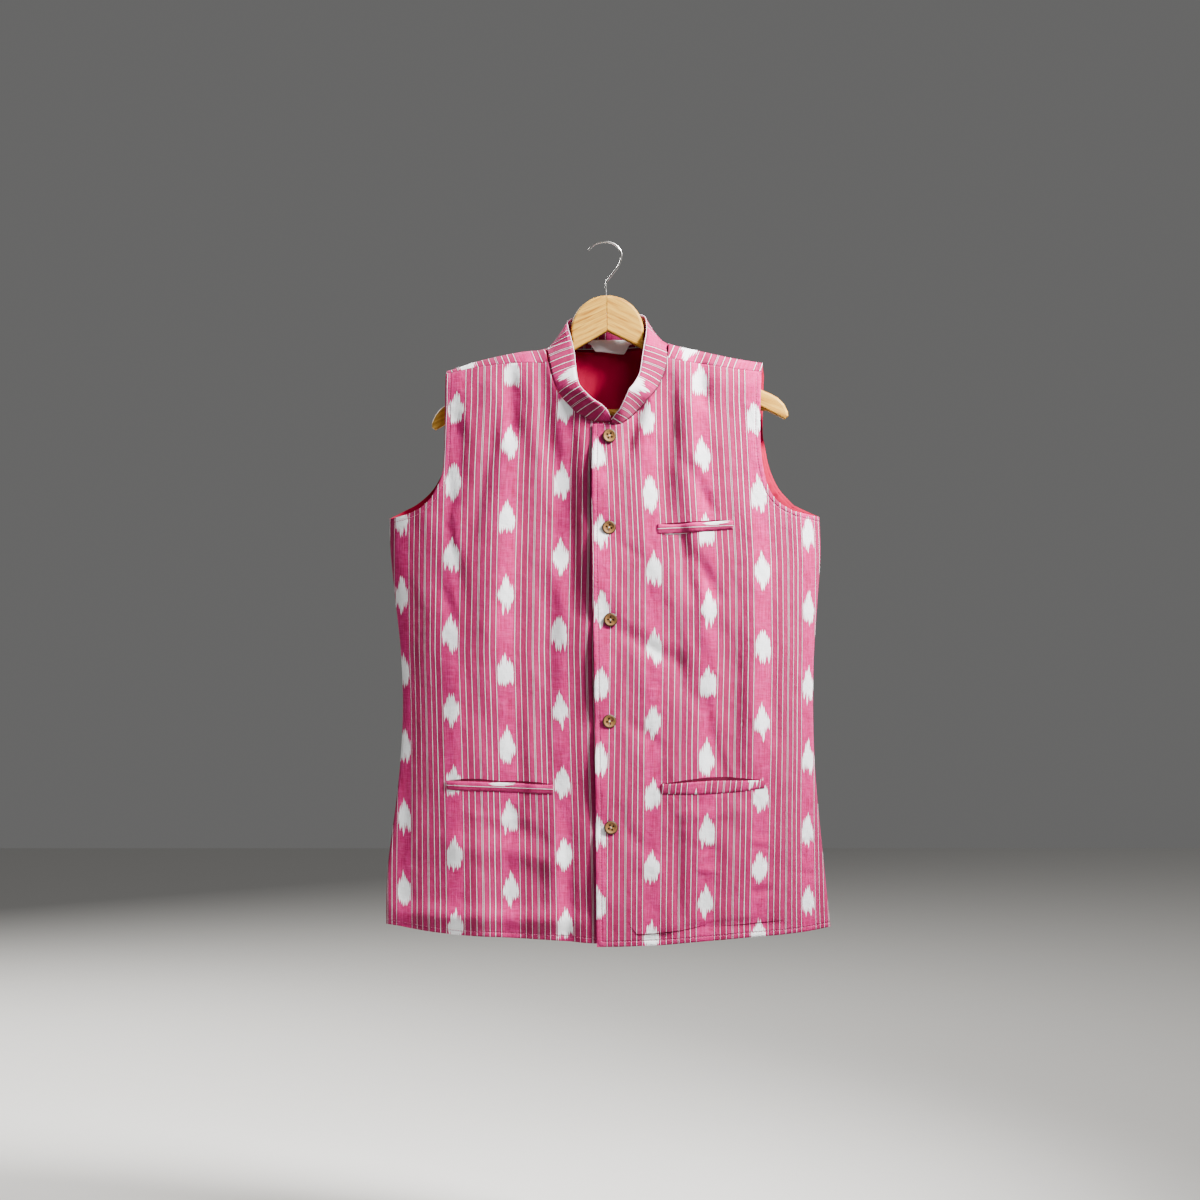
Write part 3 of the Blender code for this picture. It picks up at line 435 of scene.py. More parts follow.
# %% Reading a table along a smooth curve
def smooth_lookup(keys, values, at):
    """Reads a table between its rows along a smooth curve."""
    keys, values = np.asarray(keys), np.asarray(values)
    slopes = np.gradient(values, keys)
    row = np.clip(np.searchsorted(keys, at) - 1, 0, len(keys) - 2)
    step = keys[row + 1] - keys[row]
    s = np.clip((at - keys[row]) / step, 0, 1)
    start = (1 + 2 * s) * (1 - s) ** 2 * values[row] + s * (1 - s) ** 2 * step * slopes[row]
    end = s * s * (3 - 2 * s) * values[row + 1] - s * s * (1 - s) * step * slopes[row + 1]
    return start + end


def smooth_curve(points, steps):
    points = np.array(points, dtype=float)
    keys = np.arange(len(points))
    at = np.linspace(0, len(points) - 1, steps * (len(points) - 1) + 1)
    return np.stack([smooth_lookup(keys, column, at) for column in points.T], axis=1)


def smooth_step(value):
    value = np.clip(value, 0, 1)
    return value * value * (3 - 2 * value)


def body(column, z):
    return smooth_lookup(BODY[:, 0], BODY[:, column], z)


def shoulder_line(x):
    return smooth_lookup(SHOULDERS[:, 0], SHOULDERS[:, 1], x)


def hem_line(x):
    return smooth_lookup(HEM[:, 0], HEM[:, 1], x)


def side_seam(x, z):
    return np.where(x < 0, body(1, z), body(2, z))


# %% [markdown]
# ## Folds and creases
# Cotton that hangs from a hanger falls in a few long soft folds, and shorter ones gather at the
# shoulders, beside the buttons and over the pocket bags. A cloth simulation could find its own
# folds, but not the ones wanted here, so they are listed one by one: each runs from a top point to
# a foot point, swells in the middle and dies away at its ends, and is steeper on one flank.

# %% Tables of the folds, mm
Fold = namedtuple("Fold", "x_top z_top x_foot z_foot width rise lean bend", defaults=(0, 0))
FRONT_FOLDS = [Fold(*row) for row in (
    (-118, -160, -152, -620, 20, 4, -0.2), (-92, -100, -60, -310, 12, -5, 0.1),
    (-62, -200, -54, -450, 12, -5, 0.1), (-66, -400, -74, -600, 12, -3.5, 0.1),
    (-50, -680, -44, -930, 11, -6, 0.1), (-46, -170, -38, -500, 9, -4.5, 0.1),
    (-186, -430, -182, -870, 30, 5, 0.3), (-260, -600, -262, -900, 16, -6),
    (76, -120, 76, -380, 14, -6.5, 0.25), (104, -150, 106, -420, 13, 4),
    (112, -110, 124, -220, 11, -8, 0.2), (160, -460, 158, -700, 14, -4.5, 0.25),
    (182, -280, 183, -720, 15, 4.5), (20, -868, 110, -852, 5, -1.7, 0.2),
    (70, -852, 215, -836, 5, -2.2, 0.2), (130, -852, 240, -842, 5, -1.8),
    (-60, -690, -70, -880, 18, 5, -0.2), (-118, -680, -130, -875, 18, -4.5, 0.2),
    (-220, -742, -20, -768, 16, 4), (-350, -828, 20, -842, 12, 6),
)]
FRONT_CREASES = [Fold(*row) for row in (
    (84, -142, 89, -290, 6, -2.6, 0.3, 2), (50, -176, 20, -284, 9, -9.5, 0.2),
    (92, -340, 110, -460, 10, -5, 0.2, 2), (86, -440, 96, -600, 12, -3, 0.3, 2),
    (92, -262, 138, -350, 8, -3.5), (104, -375, 144, -455, 8, -4),
    (118, -410, 124, -520, 9, 3.5, -0.2), (0, -466, 106, -530, 10, -3, 0, 4),
    (82, -498, 122, -592, 14, -3.2), (116, -548, 158, -700, 11, -4, 0.3, 2),
    (12, -588, 84, -640, 8, -1.8, 0, -4), (14, -715, 70, -765, 9, -1.6, 0, 4),
    (12, -366, 54, -398, 5, -1.4, 0, 3), (110, -776, 140, -779, 4, 2.2),
    (108, -752, 142, -750, 4, -1.8), (176, -741, 208, -743, 4, 2), (174, -806, 212, -802, 5, -2.8),
    (236, -742, 266, -746, 4, -2.6), (236, -782, 266, -786, 4, -3), (48, -547, 74, -549, 3, -1),
    (-118, -134, -112, -268, 11, -7.5, 0.1, 1), (-124, -170, -174, -400, 10, -4.5, 0.1),
    (-198, -270, -188, -345, 8, -4), (-204, -300, -176, -440, 9, -3, 0.3),
    (-140, -690, -46, -768, 12, -2.4, 0.2, 3), (-190, -176, -182, -330, 9, -2.4, 0.3, -4),
    (-170, -168, -168, -250, 7, 2, 0.2, 2), (-88, -150, -80, -300, 8, 2.6, 0, 3),
    (-206, -400, -176, -490, 8, -2, 0.3, 4), (232, -345, 196, -410, 9, -2.4, 0, -5),
    (206, -420, 214, -640, 9, -2.2, 0.3, 4), (-164, -690, -160, -840, 9, 2.2, 0.2, -4),
    (-232, -600, -236, -790, 8, 2, 0.2, 3), (-96, -560, -88, -700, 9, 2, -0.2, 4),
    (-198, -700, -66, -716, 8, 1.4, 0, 6), (66, -706, 196, -698, 8, 1.4, 0, 6),
    (88, -690, 92, -860, 10, -4.5, 0.3, 2), (150, -720, 146, -812, 9, 2.2, 0.2, -3),
)]
BACK_DEPTH = 2.5
BACK_FOLDS = [Fold(*row) for row in (
    (-130, -190, -118, -560, 28, 4), (-62, -330, -70, -840, 30, -4), (24, -180, 10, -520, 24, -3),
    (96, -260, 112, -820, 30, 4.5), (172, -210, 150, -520, 24, -3.5),
    (-185, -480, -200, -840, 26, 3.5),
)]
BACK_CREASES = [Fold(*row) for row in (
    (-150, -175, -120, -330, 10, -2.2, 0.3, 6), (150, -172, 122, -340, 10, -2, -0.3, -6),
    (-226, -350, -150, -440, 10, -2.2, 0.2, 8), (226, -350, 160, -430, 10, -2, 0.2, -8),
    (-20, -420, -30, -700, 12, 1.8, 0.3, 8), (60, -520, 52, -760, 11, -1.8, 0.3, -6),
    (-120, -600, -128, -830, 12, 1.8, 0.3, 5), (190, -600, 204, -820, 11, 1.6, 0.3, 5),
)]


# %% Height of the folds
def fold_height(folds, x, z):
    """How far the folds lift the cloth outwards at each point."""
    total = np.zeros_like(x)
    for fold in folds:
        run = np.array([fold.x_foot - fold.x_top, fold.z_foot - fold.z_top])
        length = np.hypot(*run)
        along = ((x - fold.x_top) * run[0] + (z - fold.z_top) * run[1]) / length
        aside = ((x - fold.x_top) * run[1] - (z - fold.z_top) * run[0]) / length
        share = along / length
        aside = aside - fold.bend * np.sin(np.pi * np.clip(share, 0, 1))
        fade = 1 - smooth_step((np.abs(share - 0.5) * 2 - 0.35) / 0.65)
        width = fold.width * (1 + fold.lean * np.sign(aside))
        total += fold.rise * fade * np.exp(-((aside / width) ** 2))
    return total


# Across the cloth and down it, mm, and how high each wave is.
WAVES = ((61, 190, 0.45), (33, 96, 0.28), (19, 41, 0.13))
WHOLE_TURN = 6.283


def ripple(x, z, seed):
    """The low unevenness of worn cotton, longer down the cloth than across it."""
    total = 0
    for number, (wide, high, share) in enumerate(WAVES):
        phase = seed * 1.7 + number * 2.1
        sway = 1.3 * np.sin(z / high * WHOLE_TURN + phase)
        total = total + share * np.sin(x / wide * WHOLE_TURN + sway)
        slant = z / high * WHOLE_TURN * 1.3 + x / wide * 1.9 + phase * 2
        total = total + share * 0.6 * np.sin(slant)
    return total


def tuck_depth(x, z):
    """How far the under front sinks beneath the lapping one."""
    depth = smooth_lookup(TUCKS[:, 0], TUCKS[:, 1], z)
    sunk = smooth_step((x - TUCK_FROM) / (TUCK_TO - TUCK_FROM))
    risen = np.clip((x - TUCK_TURN) / (TUCK_END - TUCK_TURN), 0, 1)
    # By the neck it makes room for the lap only beneath the lap, so that the collar stays closed.
    beneath = smooth_step((x - ROOM_FROM) / (ROOM_TO - ROOM_FROM))
    by_neck = smooth_step((z - NECK_FOOT) / (NECK_TOP - NECK_FOOT))
    return depth * sunk * (1 - risen) + LAP_ROOM * (risen + (beneath - risen) * by_neck)


def lap_lift(x, z):
    """How far the lapping front's free edge stands out between its buttons."""
    levels = np.array([level for _, level in BUTTONS] + [BODY[0, 0]])[::-1]
    count = np.interp(z, levels, np.arange(len(levels)))
    freed = smooth_step((x - LAP_FROM) / (LAP_TO - LAP_FROM))
    return LAP_LIFT * np.abs(np.sin(np.pi * count)) * freed


# %% Folding a flat piece round the body
def body_y(x, z, ridge, side, depth, tucked):
    """Y of the cloth at x and z, `depth` inside its outer face, on the FRONT or BACK."""
    across = np.clip(np.abs(x) / (side_seam(x, z) - depth), 0, 1)
    front = side < 0
    reach = np.where(front, body(3, z), body(4, z)) - depth
    open_vent = smooth_step((VENT_TOP - z) / (VENT_TOP - VENT_FOOT))
    seam = SEAM_GAP / 2 + VENT_SPREAD * open_vent
    section = (1 - across**FLATNESS) ** SOFTNESS
    fold = np.where(
        front,
        fold_height(FRONT_FOLDS + FRONT_CREASES, x, z) + ripple(x, z, 1),
        fold_height(BACK_FOLDS + BACK_CREASES, x, z) * BACK_DEPTH + ripple(x, z, 2),
    )
    if tucked:
        fold = fold - tuck_depth(x, z)
    else:
        fold = np.where(front & (x < LAP_FROM), fold + lap_lift(x, z), fold)
    crown = 1 - np.clip((ridge - z) / SHOULDER_ROUND, 0, 1)
    crown = np.sqrt(1 - crown**2)
    reach = seam + (reach - seam) * section + fold * (1 - across**8)
    return side * crown * reach


def place(pattern, side, depth=0.0, tucked=False):
    """Folds flat points (across, up) into the hanging jacket. Past HEIGHT is over the ridge."""
    across, up = pattern[:, 0] / HALF_WIDTH, pattern[:, 1] / HEIGHT
    level = np.where(up > 1, 2 - up, up)
    x = across * HALF_WIDTH
    for _ in range(6):
        ridge = shoulder_line(x) - depth
        z = hem_line(x) + level * (ridge - hem_line(x))
        x = across * (side_seam(x, z) - depth)
    facing = np.where(up > 1, FRONT, side)
    return np.stack([x, body_y(x, z, ridge, facing, depth, tucked), z], axis=1)


def to_pattern(points, over_ridge=False):
    """Flat pattern points for (x, z) seen from the front."""
    x, z = np.array([tuple(p)[:2] for p in points], dtype=float).T
    up = (z - hem_line(x)) / (shoulder_line(x) - hem_line(x))
    up = 2 - up if over_ridge else up
    return list(zip(x / side_seam(x, z) * HALF_WIDTH, up * HEIGHT))


# %% [markdown]
# ## How the stripes run
# Each panel is cut with its stripes upright, but a hanging panel leans and turns away at its
# sides, so the stripes drift a little. For each panel one table says where the first line of each
# stripe set lies at some heights, and another at which heights the motifs sit. From both, every
# point gets its place on the woven cloth, which becomes its UV.

# %% Stripe tables, mm
STRIPES = {
    "front_right": (
        (-198.3, (-241.4, -173.2, -104.5, -38.1)), (-284.3, (-244.5, -176.9, -108.4, -43.2)),
        (-394.8, (-247.4, -179.4, -111.6, -44.5)), (-505.3, (-249, -181.7, -112.9, -46.7)),
        (-628.2, (-245.7, -177.9, -109.8, -43.8)), (-714.1, (-243.3, -175.7, -107.4, -41)),
        (-824.7, (-241.7, -174.1, -105.5, -38.6)),
    ),
    "front_left": (
        (-198.3, (-3.8, 61.3, 126.7, 194.4)), (-284.3, (2.1, 63.3, 131.3, 198.5)),
        (-394.8, (6.1, 69.8, 137.5, 204.1)), (-505.3, (5.2, 70.2, 138.7, 205.8)),
        (-628.2, (3.7, 68.6, 135.8, 204.1)), (-714.1, (1.9, 68.6, 136.3, 202.3)),
        (-824.7, (1.3, 67.1, 133.7, 200.1)),
    ),
    "back": (
        (-140, (-161.7, -92.6, -23.1, 46.6, 116, 187.3)),
        (-420, (-160, -92, -24, 44.4, 112.6, 181)),
        (-830, (-160, -92, -24, 44.4, 112.6, 181)),
    ),
}
MOTIF_LEVELS = {
    "front_right": (-161.4, -248, -342, -434.1, -531.7, -623.2, -710.4, -800.1),
    "front_left": (-171.3, -263.4, -357.9, -452.5, -546.5, -638, -728.3, -814.8),
}
SIDE_TURN = {"front_right": 5, "front_left": 7.8, "back": 6}
SHOULDER_SLANT = 0.38
EVEN_RIDGE, EVENED_BY = -150, 120


# %% Place on the woven cloth
def across_cloth(name, x, z):
    """How far across the woven cloth each point lies, read from where the stripes run."""
    rows = STRIPES[name][::-1]
    levels = [row[0] for row in rows]
    lines = np.array([np.interp(z, levels, line) for line in zip(*[row[1] for row in rows])])
    k = np.clip((x[None, :] >= lines).sum(axis=0) - 1, 0, len(lines) - 2)
    at = np.arange(len(x))
    u = (k + (x - lines[k, at]) / (lines[k + 1, at] - lines[k, at])) * REPEAT + FIRST_LINE
    turned = np.clip((np.abs(x) / side_seam(x, z) - 0.8) / 0.15, 0, 2) ** 1.8
    return u + np.sign(x) * SIDE_TURN[name] * turned


def along_cloth(name, z):
    """How far up the woven cloth each point lies, read from where the motifs sit."""
    levels = -np.array(MOTIF_LEVELS[name])
    count = np.interp(-z, levels, np.arange(len(levels)))
    first, last = levels[1] - levels[0], levels[-1] - levels[-2]
    count += np.minimum(-z - levels[0], 0) / first + np.maximum(-z - levels[-1], 0) / last
    return -count * MOTIF_REPEAT


def cloth_point(name, spots, pattern):
    """(u, v) of each point of a panel."""
    x, z = spots[:, 0], spots[:, 2]
    if name != "back":
        return across_cloth(name, x, z), along_cloth(name, z)
    ridge = shoulder_line(x)
    drop = np.maximum(ridge - z, 0)
    over = pattern[:, 1] > HEIGHT
    # What lies over the ridge carries on the back's own pattern, and leans towards the neck.
    x = np.where(over, x + np.sign(x) * SHOULDER_SLANT * drop, x)
    u = across_cloth("back", x, np.where(over, ridge, z))
    # Further down, the motifs stand in level rows, however the shoulder slopes.
    near = np.exp(-drop / EVENED_BY)
    lift = (EVEN_RIDGE - ridge) * near
    return u, np.where(over, drop, z - ridge + (ridge - EVEN_RIDGE + lift) * (1 - near))


# %% [markdown]
# ## Cutting and folding a panel
# A tailor lays the pattern on flat cloth, cuts it, and only then sews it into a body. The same
# steps work here: the outline is one face, `bisect_plane` cuts it along a fine grid, an extrusion
# doubles it into a wall, and both faces are folded round the body. On the way every point notes
# how far it is from a seam and from a stitched edge, for the relief of the finish.

# %% Cut, double and fold
CELL, FRONT_CELL, LINING_CELL, STRIP_CELL = 6.0, 4.0, 9.0, 3.0
SIDE_COLUMNS = (264, 267.4, 269.2)
RIDGE_ROWS = (-30, -20, -13, -9, -6, -4, -2.4, -1.2, -0.4, 0, 0.4, 1.2, 2.4, 4, 6, 9, 13, 20)
CUT_SNAP = 0.5


def grid_lines(low, high, cell=CELL):
    """Lines of the cutting grid across and up the pattern, closer at the sides and the ridge."""
    inner = np.arange(-SIDE_COLUMNS[0], SIDE_COLUMNS[0] + 1, cell)
    columns = sorted([*inner, *SIDE_COLUMNS, *(-column for column in SIDE_COLUMNS)])
    rows = [*np.arange(cell, HEIGHT + RIDGE_ROWS[0], cell), *(HEIGHT + row for row in RIDGE_ROWS)]
    return ([c for c in columns if low[0] < c < high[0]],
            [r for r in rows if low[1] < r < high[1]])


def bisect(bm, point, normal, **more):
    parts = bm.verts[:] + bm.edges[:] + bm.faces[:]
    bmesh.ops.bisect_plane(bm, geom=parts, dist=CUT_SNAP, plane_co=point, plane_no=normal, **more)


def cut_pattern(outline, cell=CELL):
    """One face for the outline, cut along the grid's lines."""
    outline = np.array(outline)
    bm = bmesh.new()
    bm.faces.new([bm.verts.new((p, 0, q)) for p, q in outline])
    columns, rows = grid_lines(outline.min(axis=0), outline.max(axis=0), cell)
    lines = [((p, 0, 0), (1, 0, 0)) for p in columns] + [((0, 0, q), (0, 0, 1)) for q in rows]
    for point, normal in lines:
        bisect(bm, point, normal)
    rim = [f for f in bm.faces if len(f.verts) != 4 or any(v.is_boundary for v in f.verts)]
    bmesh.ops.triangulate(bm, faces=rim)
    return bm


def distance_to(lines, points):
    """How far each point is from the nearest of some polylines."""
    best = np.full(len(points), 1000.0)
    for line in lines:
        line = np.array(line)
        for start, end in zip(line, line[1:]):
            run = end - start
            share = np.clip((points - start) @ run / max(run @ run, 1e-9), 0, 1)
            best = np.minimum(best, np.hypot(*(points - start - share[:, None] * run).T))
    return best


def note_layers(bm, *names):
    """One number noted at each point for each name."""
    return [bm.verts.layers.float.new(name) for name in names]


def lay_on_cloth(bm, where):
    """Gives each corner its place on the woven cloth, in metres."""
    grain = bm.loops.layers.uv.new("cloth")
    for face in bm.faces:
        for loop in face.loops:
            loop[grain].uv = where[loop.vert]


def fold_cloth(bm, name, outline, stitched, side, outer, inner, tucked=False, run=None):
    """Gives a cut pattern a wall, folds both faces into the jacket, and notes the cloth's run."""
    edge, stitch = note_layers(bm, "edge", "stitch")
    outside = bm.verts[:]
    made = bmesh.ops.extrude_face_region(bm, geom=bm.faces[:], use_keep_orig=True)["geom"]
    inside = [v for v in made if isinstance(v, bmesh.types.BMVert)]
    lined = {f for f in made if isinstance(f, bmesh.types.BMFace)}
    closed = list(outline) + [outline[0]]
    where = {}
    for verts, depth in ((outside, outer), (inside, inner)):
        pattern = np.array([(v.co.x, v.co.z) for v in verts])
        depth = depth(pattern) if callable(depth) else depth
        spots = place(pattern, side, depth, tucked)
        u, v = run(spots) if run else cloth_point(name, spots, pattern)
        gaps = distance_to([closed], pattern), distance_to(stitched, pattern)
        for vert, spot, across, along, near, sewn in zip(verts, spots, u, v, *gaps):
            vert.co = spot * MM
            vert[edge], vert[stitch] = near * MM, sewn * MM
            where[vert] = (across * MM, along * MM)
    bmesh.ops.recalc_face_normals(bm, faces=bm.faces)
    lay_on_cloth(bm, where)
    if side == BACK:
        # The back's rim takes the lining too, as it is seen together with its inside.
        outside = set(outside)
        lined = {f for f in bm.faces if not outside.issuperset(f.verts)}
    for face in bm.faces:
        face.material_index = int(face in lined)


def add_piece(name, bm, *materials, smooth=50):
    """A mesh object from a bmesh, smooth but for edges sharper than `smooth` degrees."""
    mesh = bpy.data.meshes.new(name)
    bm.to_mesh(mesh)
    bm.free()
    for material in materials:
        mesh.materials.append(material)
    mesh.shade_smooth()
    mesh.set_sharp_from_angle(angle=math.radians(smooth))
    return link_object(name, mesh)


def mesh_of(piece):
    """The mesh that a piece's curve or modifiers make, the piece itself taken away."""
    bpy.context.view_layer.update()
    graph = bpy.context.evaluated_depsgraph_get()
    mesh = bpy.data.meshes.new_from_object(piece.evaluated_get(graph))
    bpy.data.objects.remove(piece, do_unlink=True)
    return mesh


def dress(piece, slot, *nodes):
    """Rides the piece on the jacket and hides the nodes that it stands for. `slot` is not used."""
    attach(piece, "root")
    if nodes:
        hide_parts(*nodes)
    print(piece.name, len(piece.data.polygons), "faces")
    return piece


# %% [markdown]
# ## Both fronts
# The wearer's left front laps over the right one and carries the buttons. Its free edge, the hem
# and the armholes are turned in and stitched close to the edge; the other edges end in seams. The
# outlines are those of the solids, so the new walls lie where the solids are.

# %% Outlines of the fronts, mm
UNDERARM = {"right": -343.5, "left": -341}
SIDE_FOOT = {"right": -846, "left": -849.5}
FRONT_ARMHOLE = {
    "right": ((-247, -338), (-230, -330), (-217, -318), (-209.5, -305),
              (-202.6, -289), (-199.8, -262), (-199, -225), (-198.8, -190), (-198.6, -163.8)),
    "left": ((232.6, -333.6), (213.3, -322.4), (200.4, -303.8), (192.7, -270.3), (190.3, -230.6),
             (191, -198.4), (192.4, -162.5)),
}
BACK_ARMHOLE = {
    "right": ((-250.5, -333), (-236, -325), (-221, -312), (-210, -297),
              (-202, -278), (-199.8, -250), (-199.2, -205), (-200.4, -175)),
    "left": ((234.4, -326.1), (215.8, -305), (204.1, -279), (198.4, -250.5), (196, -233.1),
             (196.4, -190), (197.2, -165)),
}
FORWARD_SEAM = {
    "right": ((-198, -162.8), (-72.2, -149)),
    "left": ((193, -161), (76.6, -144.2)),
}
# Seam x and z, the collar's top edge x, y and z, then how far along the woven band the foot and
# the top lie.
NECK = {
    "right": (
        (-71.8, -146, -39.6, -29, -139, -36.4, -41.1),
        (-69, -161.2, -38, -35, -155, -50.9, -56.5),
        (-64.8, -176, -36, -42, -170, -66.5, -74.5),
        (-59.5, -187.2, -33.5, -46, -179, -78, -84.2),
        (-53.3, -195.9, -29.8, -49, -184.5, -87.3, -90.1),
        (-45.9, -203.6, -24.2, -51, -190.4, -97.5, -97.3),
        (-38.4, -210.8, -18, -51, -196.5, -107.2, -105.4),
        (-25.4, -219.5, -7, -49, -203.6, -118, -115.7),
        (-14.9, -223.8, -3, -46.5, -206.5, -124.5, -120.7),
        (-5, -225, 1.4, -43.5, -211, -130, -128.7),
        (5.4, -225, 5.4, -39, -218.8, -134, -141.4),
    ),
    "left": (
        (76, -139.4, 47.6, -25, -130, 149.1, 149.5),
        (75, -150, 45.6, -33, -143, 160.3, 163.8),
        (73, -160, 44.2, -38, -153, 170.8, 174.3),
        (68.2, -172.5, 42.2, -43, -164, 183, 187.4),
        (63.2, -183, 38.4, -47.5, -172.4, 195.5, 197.5),
        (56.5, -191.5, 34.1, -50.5, -179.2, 204.8, 205.4),
        (48.4, -200, 29.1, -52.5, -185.4, 214.1, 212.7),
        (40.9, -209, 25.5, -53.5, -193.4, 227.4, 223.3),
        (32.9, -217, 21.5, -52.5, -201.5, 239.2, 232.7),
        (26, -222.5, 17.4, -50, -209.6, 248.3, 241.2),
        (17.4, -227.4, 12.4, -46.5, -215.1, 255.4, 247.8),
        (7, -227.6, 7, -41.5, -222.2, 260.4, 256.8),
    ),
    "back": (
        (-75.6, -132, -43.6, -15, -121, -25, -24),
        (-70, -130, -48, -4.5, -105, -10, -7),
        (-60, -130, -47.4, 7, -96, 5, 7.1),
        (-42, -130, -35, 15, -90, 22, 22.4),
        (-22, -130, -18, 19, -87, 39.4, 39.4),
        (0, -129.5, 1, 20.5, -86, 57.8, 57.8),
        (24, -128.8, 20, 19, -86, 76.2, 76.2),
        (45, -127.6, 37, 15, -87, 93.1, 93.1),
        (62, -126.6, 48.6, 7.5, -91, 108, 107),
        (72, -126, 51, -3.5, -102, 123, 122.1),
        (78, -125.8, 50.4, -14, -115, 136, 134.7),
    ),
}
LAP_EDGE = ((-16.8, -227.6), (-17.4, -300), (-17.2, -400), (-15.5, -481), (-13.6, -617.5),
            (-11.2, -869))
UNDERLAP_EDGE = ((28, -866.5), (28, -227.2))
LAP_HEM = -871.4
CURVE_STEPS = 4


# %% Fronts
def side_points(sign, *levels):
    edge = [(float(sign * side_seam(np.array(sign), np.array(z))), z) for z in levels]
    return to_pattern(edge)


def neck_line(name):
    return smooth_curve([(p[0], p[1] - SEAM_GAP / 2) for p in NECK[name]], CURVE_STEPS)


def front_outline(name):
    """The pattern outline of one front, and those of its lines that are stitched."""
    if name == "left":
        hem = [(LAP_EDGE[-1][0], LAP_HEM)] + [tuple(p) for p in HEM if 0 < p[0] < HALF_WIDTH]
        edge, sign = smooth_curve(LAP_EDGE, CURVE_STEPS)[:-1], 1
    else:
        hem = [UNDERLAP_EDGE[0]] + [tuple(p) for p in HEM[::-1] if -HALF_WIDTH < p[0] < 0]
        edge, sign = [UNDERLAP_EDGE[1]], -1
    hem = to_pattern(hem)
    sides = side_points(sign, SIDE_FOOT[name], UNDERARM[name])
    armhole = to_pattern(smooth_curve(FRONT_ARMHOLE[name], CURVE_STEPS))
    seam = to_pattern([(x, z - SEAM_GAP) for x, z in FORWARD_SEAM[name]])
    edge = to_pattern(edge)
    outline = hem + sides + armhole + seam + to_pattern(neck_line(name)[1:]) + edge
    stitched = [hem + sides[:1], sides[1:] + armhole]
    if name == "left":
        stitched.append(edge + hem[:1])
    return outline, stitched


PANELS = {}
for name in ("left", "right"):
    node = "front_" + name
    outline, stitched = front_outline(name)
    PANELS[node] = (outline, stitched)
    bm = cut_pattern(outline, FRONT_CELL)
    fold_cloth(bm, node, outline, stitched, FRONT, 0, CLOTH_WALL, tucked=name == "right")
    dress(add_piece(node + "_cloth", bm, CLOTH, LINING), "jacket_cloth", node)

# %% [markdown]
# ## The back and its lining
# The back is one piece that comes over the shoulders, so the shoulder seams lie a little forward
# on the chest. Its lining is a separate, thinner piece of red cloth, sewn in at the sides, the
# neck and the hem. The lining is cut from the same outline, then trimmed, and lies inside.

# %% Back
def back_outline():
    halves, stitched = [], []
    for name, sign in (("right", -1), ("left", 1)):
        armhole = to_pattern(smooth_curve(BACK_ARMHOLE[name], CURVE_STEPS))
        sides = side_points(sign, SIDE_FOOT[name] + BACK_HEM_RISE, UNDERARM[name])
        seam = to_pattern(FORWARD_SEAM[name], over_ridge=True)
        halves.append(sides + armhole + seam)
        stitched.append(sides[1:] + armhole + seam[:1])
    neck = to_pattern(neck_line("back"))
    hem = to_pattern([(x, z + BACK_HEM_RISE) for x, z in HEM if abs(x) < HALF_WIDTH])
    stitched.append([halves[0][0]] + hem + [halves[1][0]])
    return halves[0] + neck + halves[1][::-1] + hem[::-1], stitched


def trim(bm, axis, edge, sign):
    """Cuts off the part of a pattern that lies beyond a line of its grid."""
    point, normal = np.zeros(3), np.zeros(3)
    point[axis], normal[axis] = edge, sign
    bisect(bm, point, normal, clear_outer=True)


def pattern_size(bm):
    """Width, length and area of a trimmed pattern, in metres."""
    flat = np.array([vert.co for vert in bm.verts]) * MM
    width, _, length = flat.max(axis=0) - flat.min(axis=0)
    return float(width), float(length), sum(face.calc_area() for face in bm.faces) * MM**2


outline, stitched = back_outline()
PANELS["back"] = (outline, stitched)
bm = cut_pattern(outline)
fold_cloth(bm, "back", outline, stitched, BACK, 0, CLOTH_WALL)
dress(add_piece("back_cloth", bm, CLOTH, LINING), "jacket_cloth", "back")

bm = cut_pattern(outline, LINING_CELL)
trim(bm, 0, -LINING_REACH, -1)
trim(bm, 0, LINING_REACH, 1)
trim(bm, 2, HEIGHT + LINING_TOP, 1)
trim(bm, 2, LINING_HEM, -1)
pattern_size(bm)
outer = CLOTH_WALL + LINING_GAP
fold_cloth(bm, "back", outline, stitched, BACK, outer, outer + LINING_WALL)
lining_piece = dress(add_piece("lining", bm, LINING, LINING), "lining_cloth", "back_lining")

# %% [markdown]
# ## The stand collar
# The collar is a straight band about 35 mm high that stands up round the neck, with its stripes
# running across it. It is a grid bent between the neck seam and the top edge, which are given as
# pairs of points, because the band leans in and twists as it rounds the shoulders. A fine pale
# piping closes its top edge, and its pale colour is a painted highlight along that edge.

# %% Collar
COLLAR_ROWS, COLLAR_STEPS = 8, 8
COLLAR_BOW, COLLAR_FULL_BOW_HEIGHT = 1.6, 25
MOTIF_AT_TOP = 44
BARE_BAND = (-34, 170)


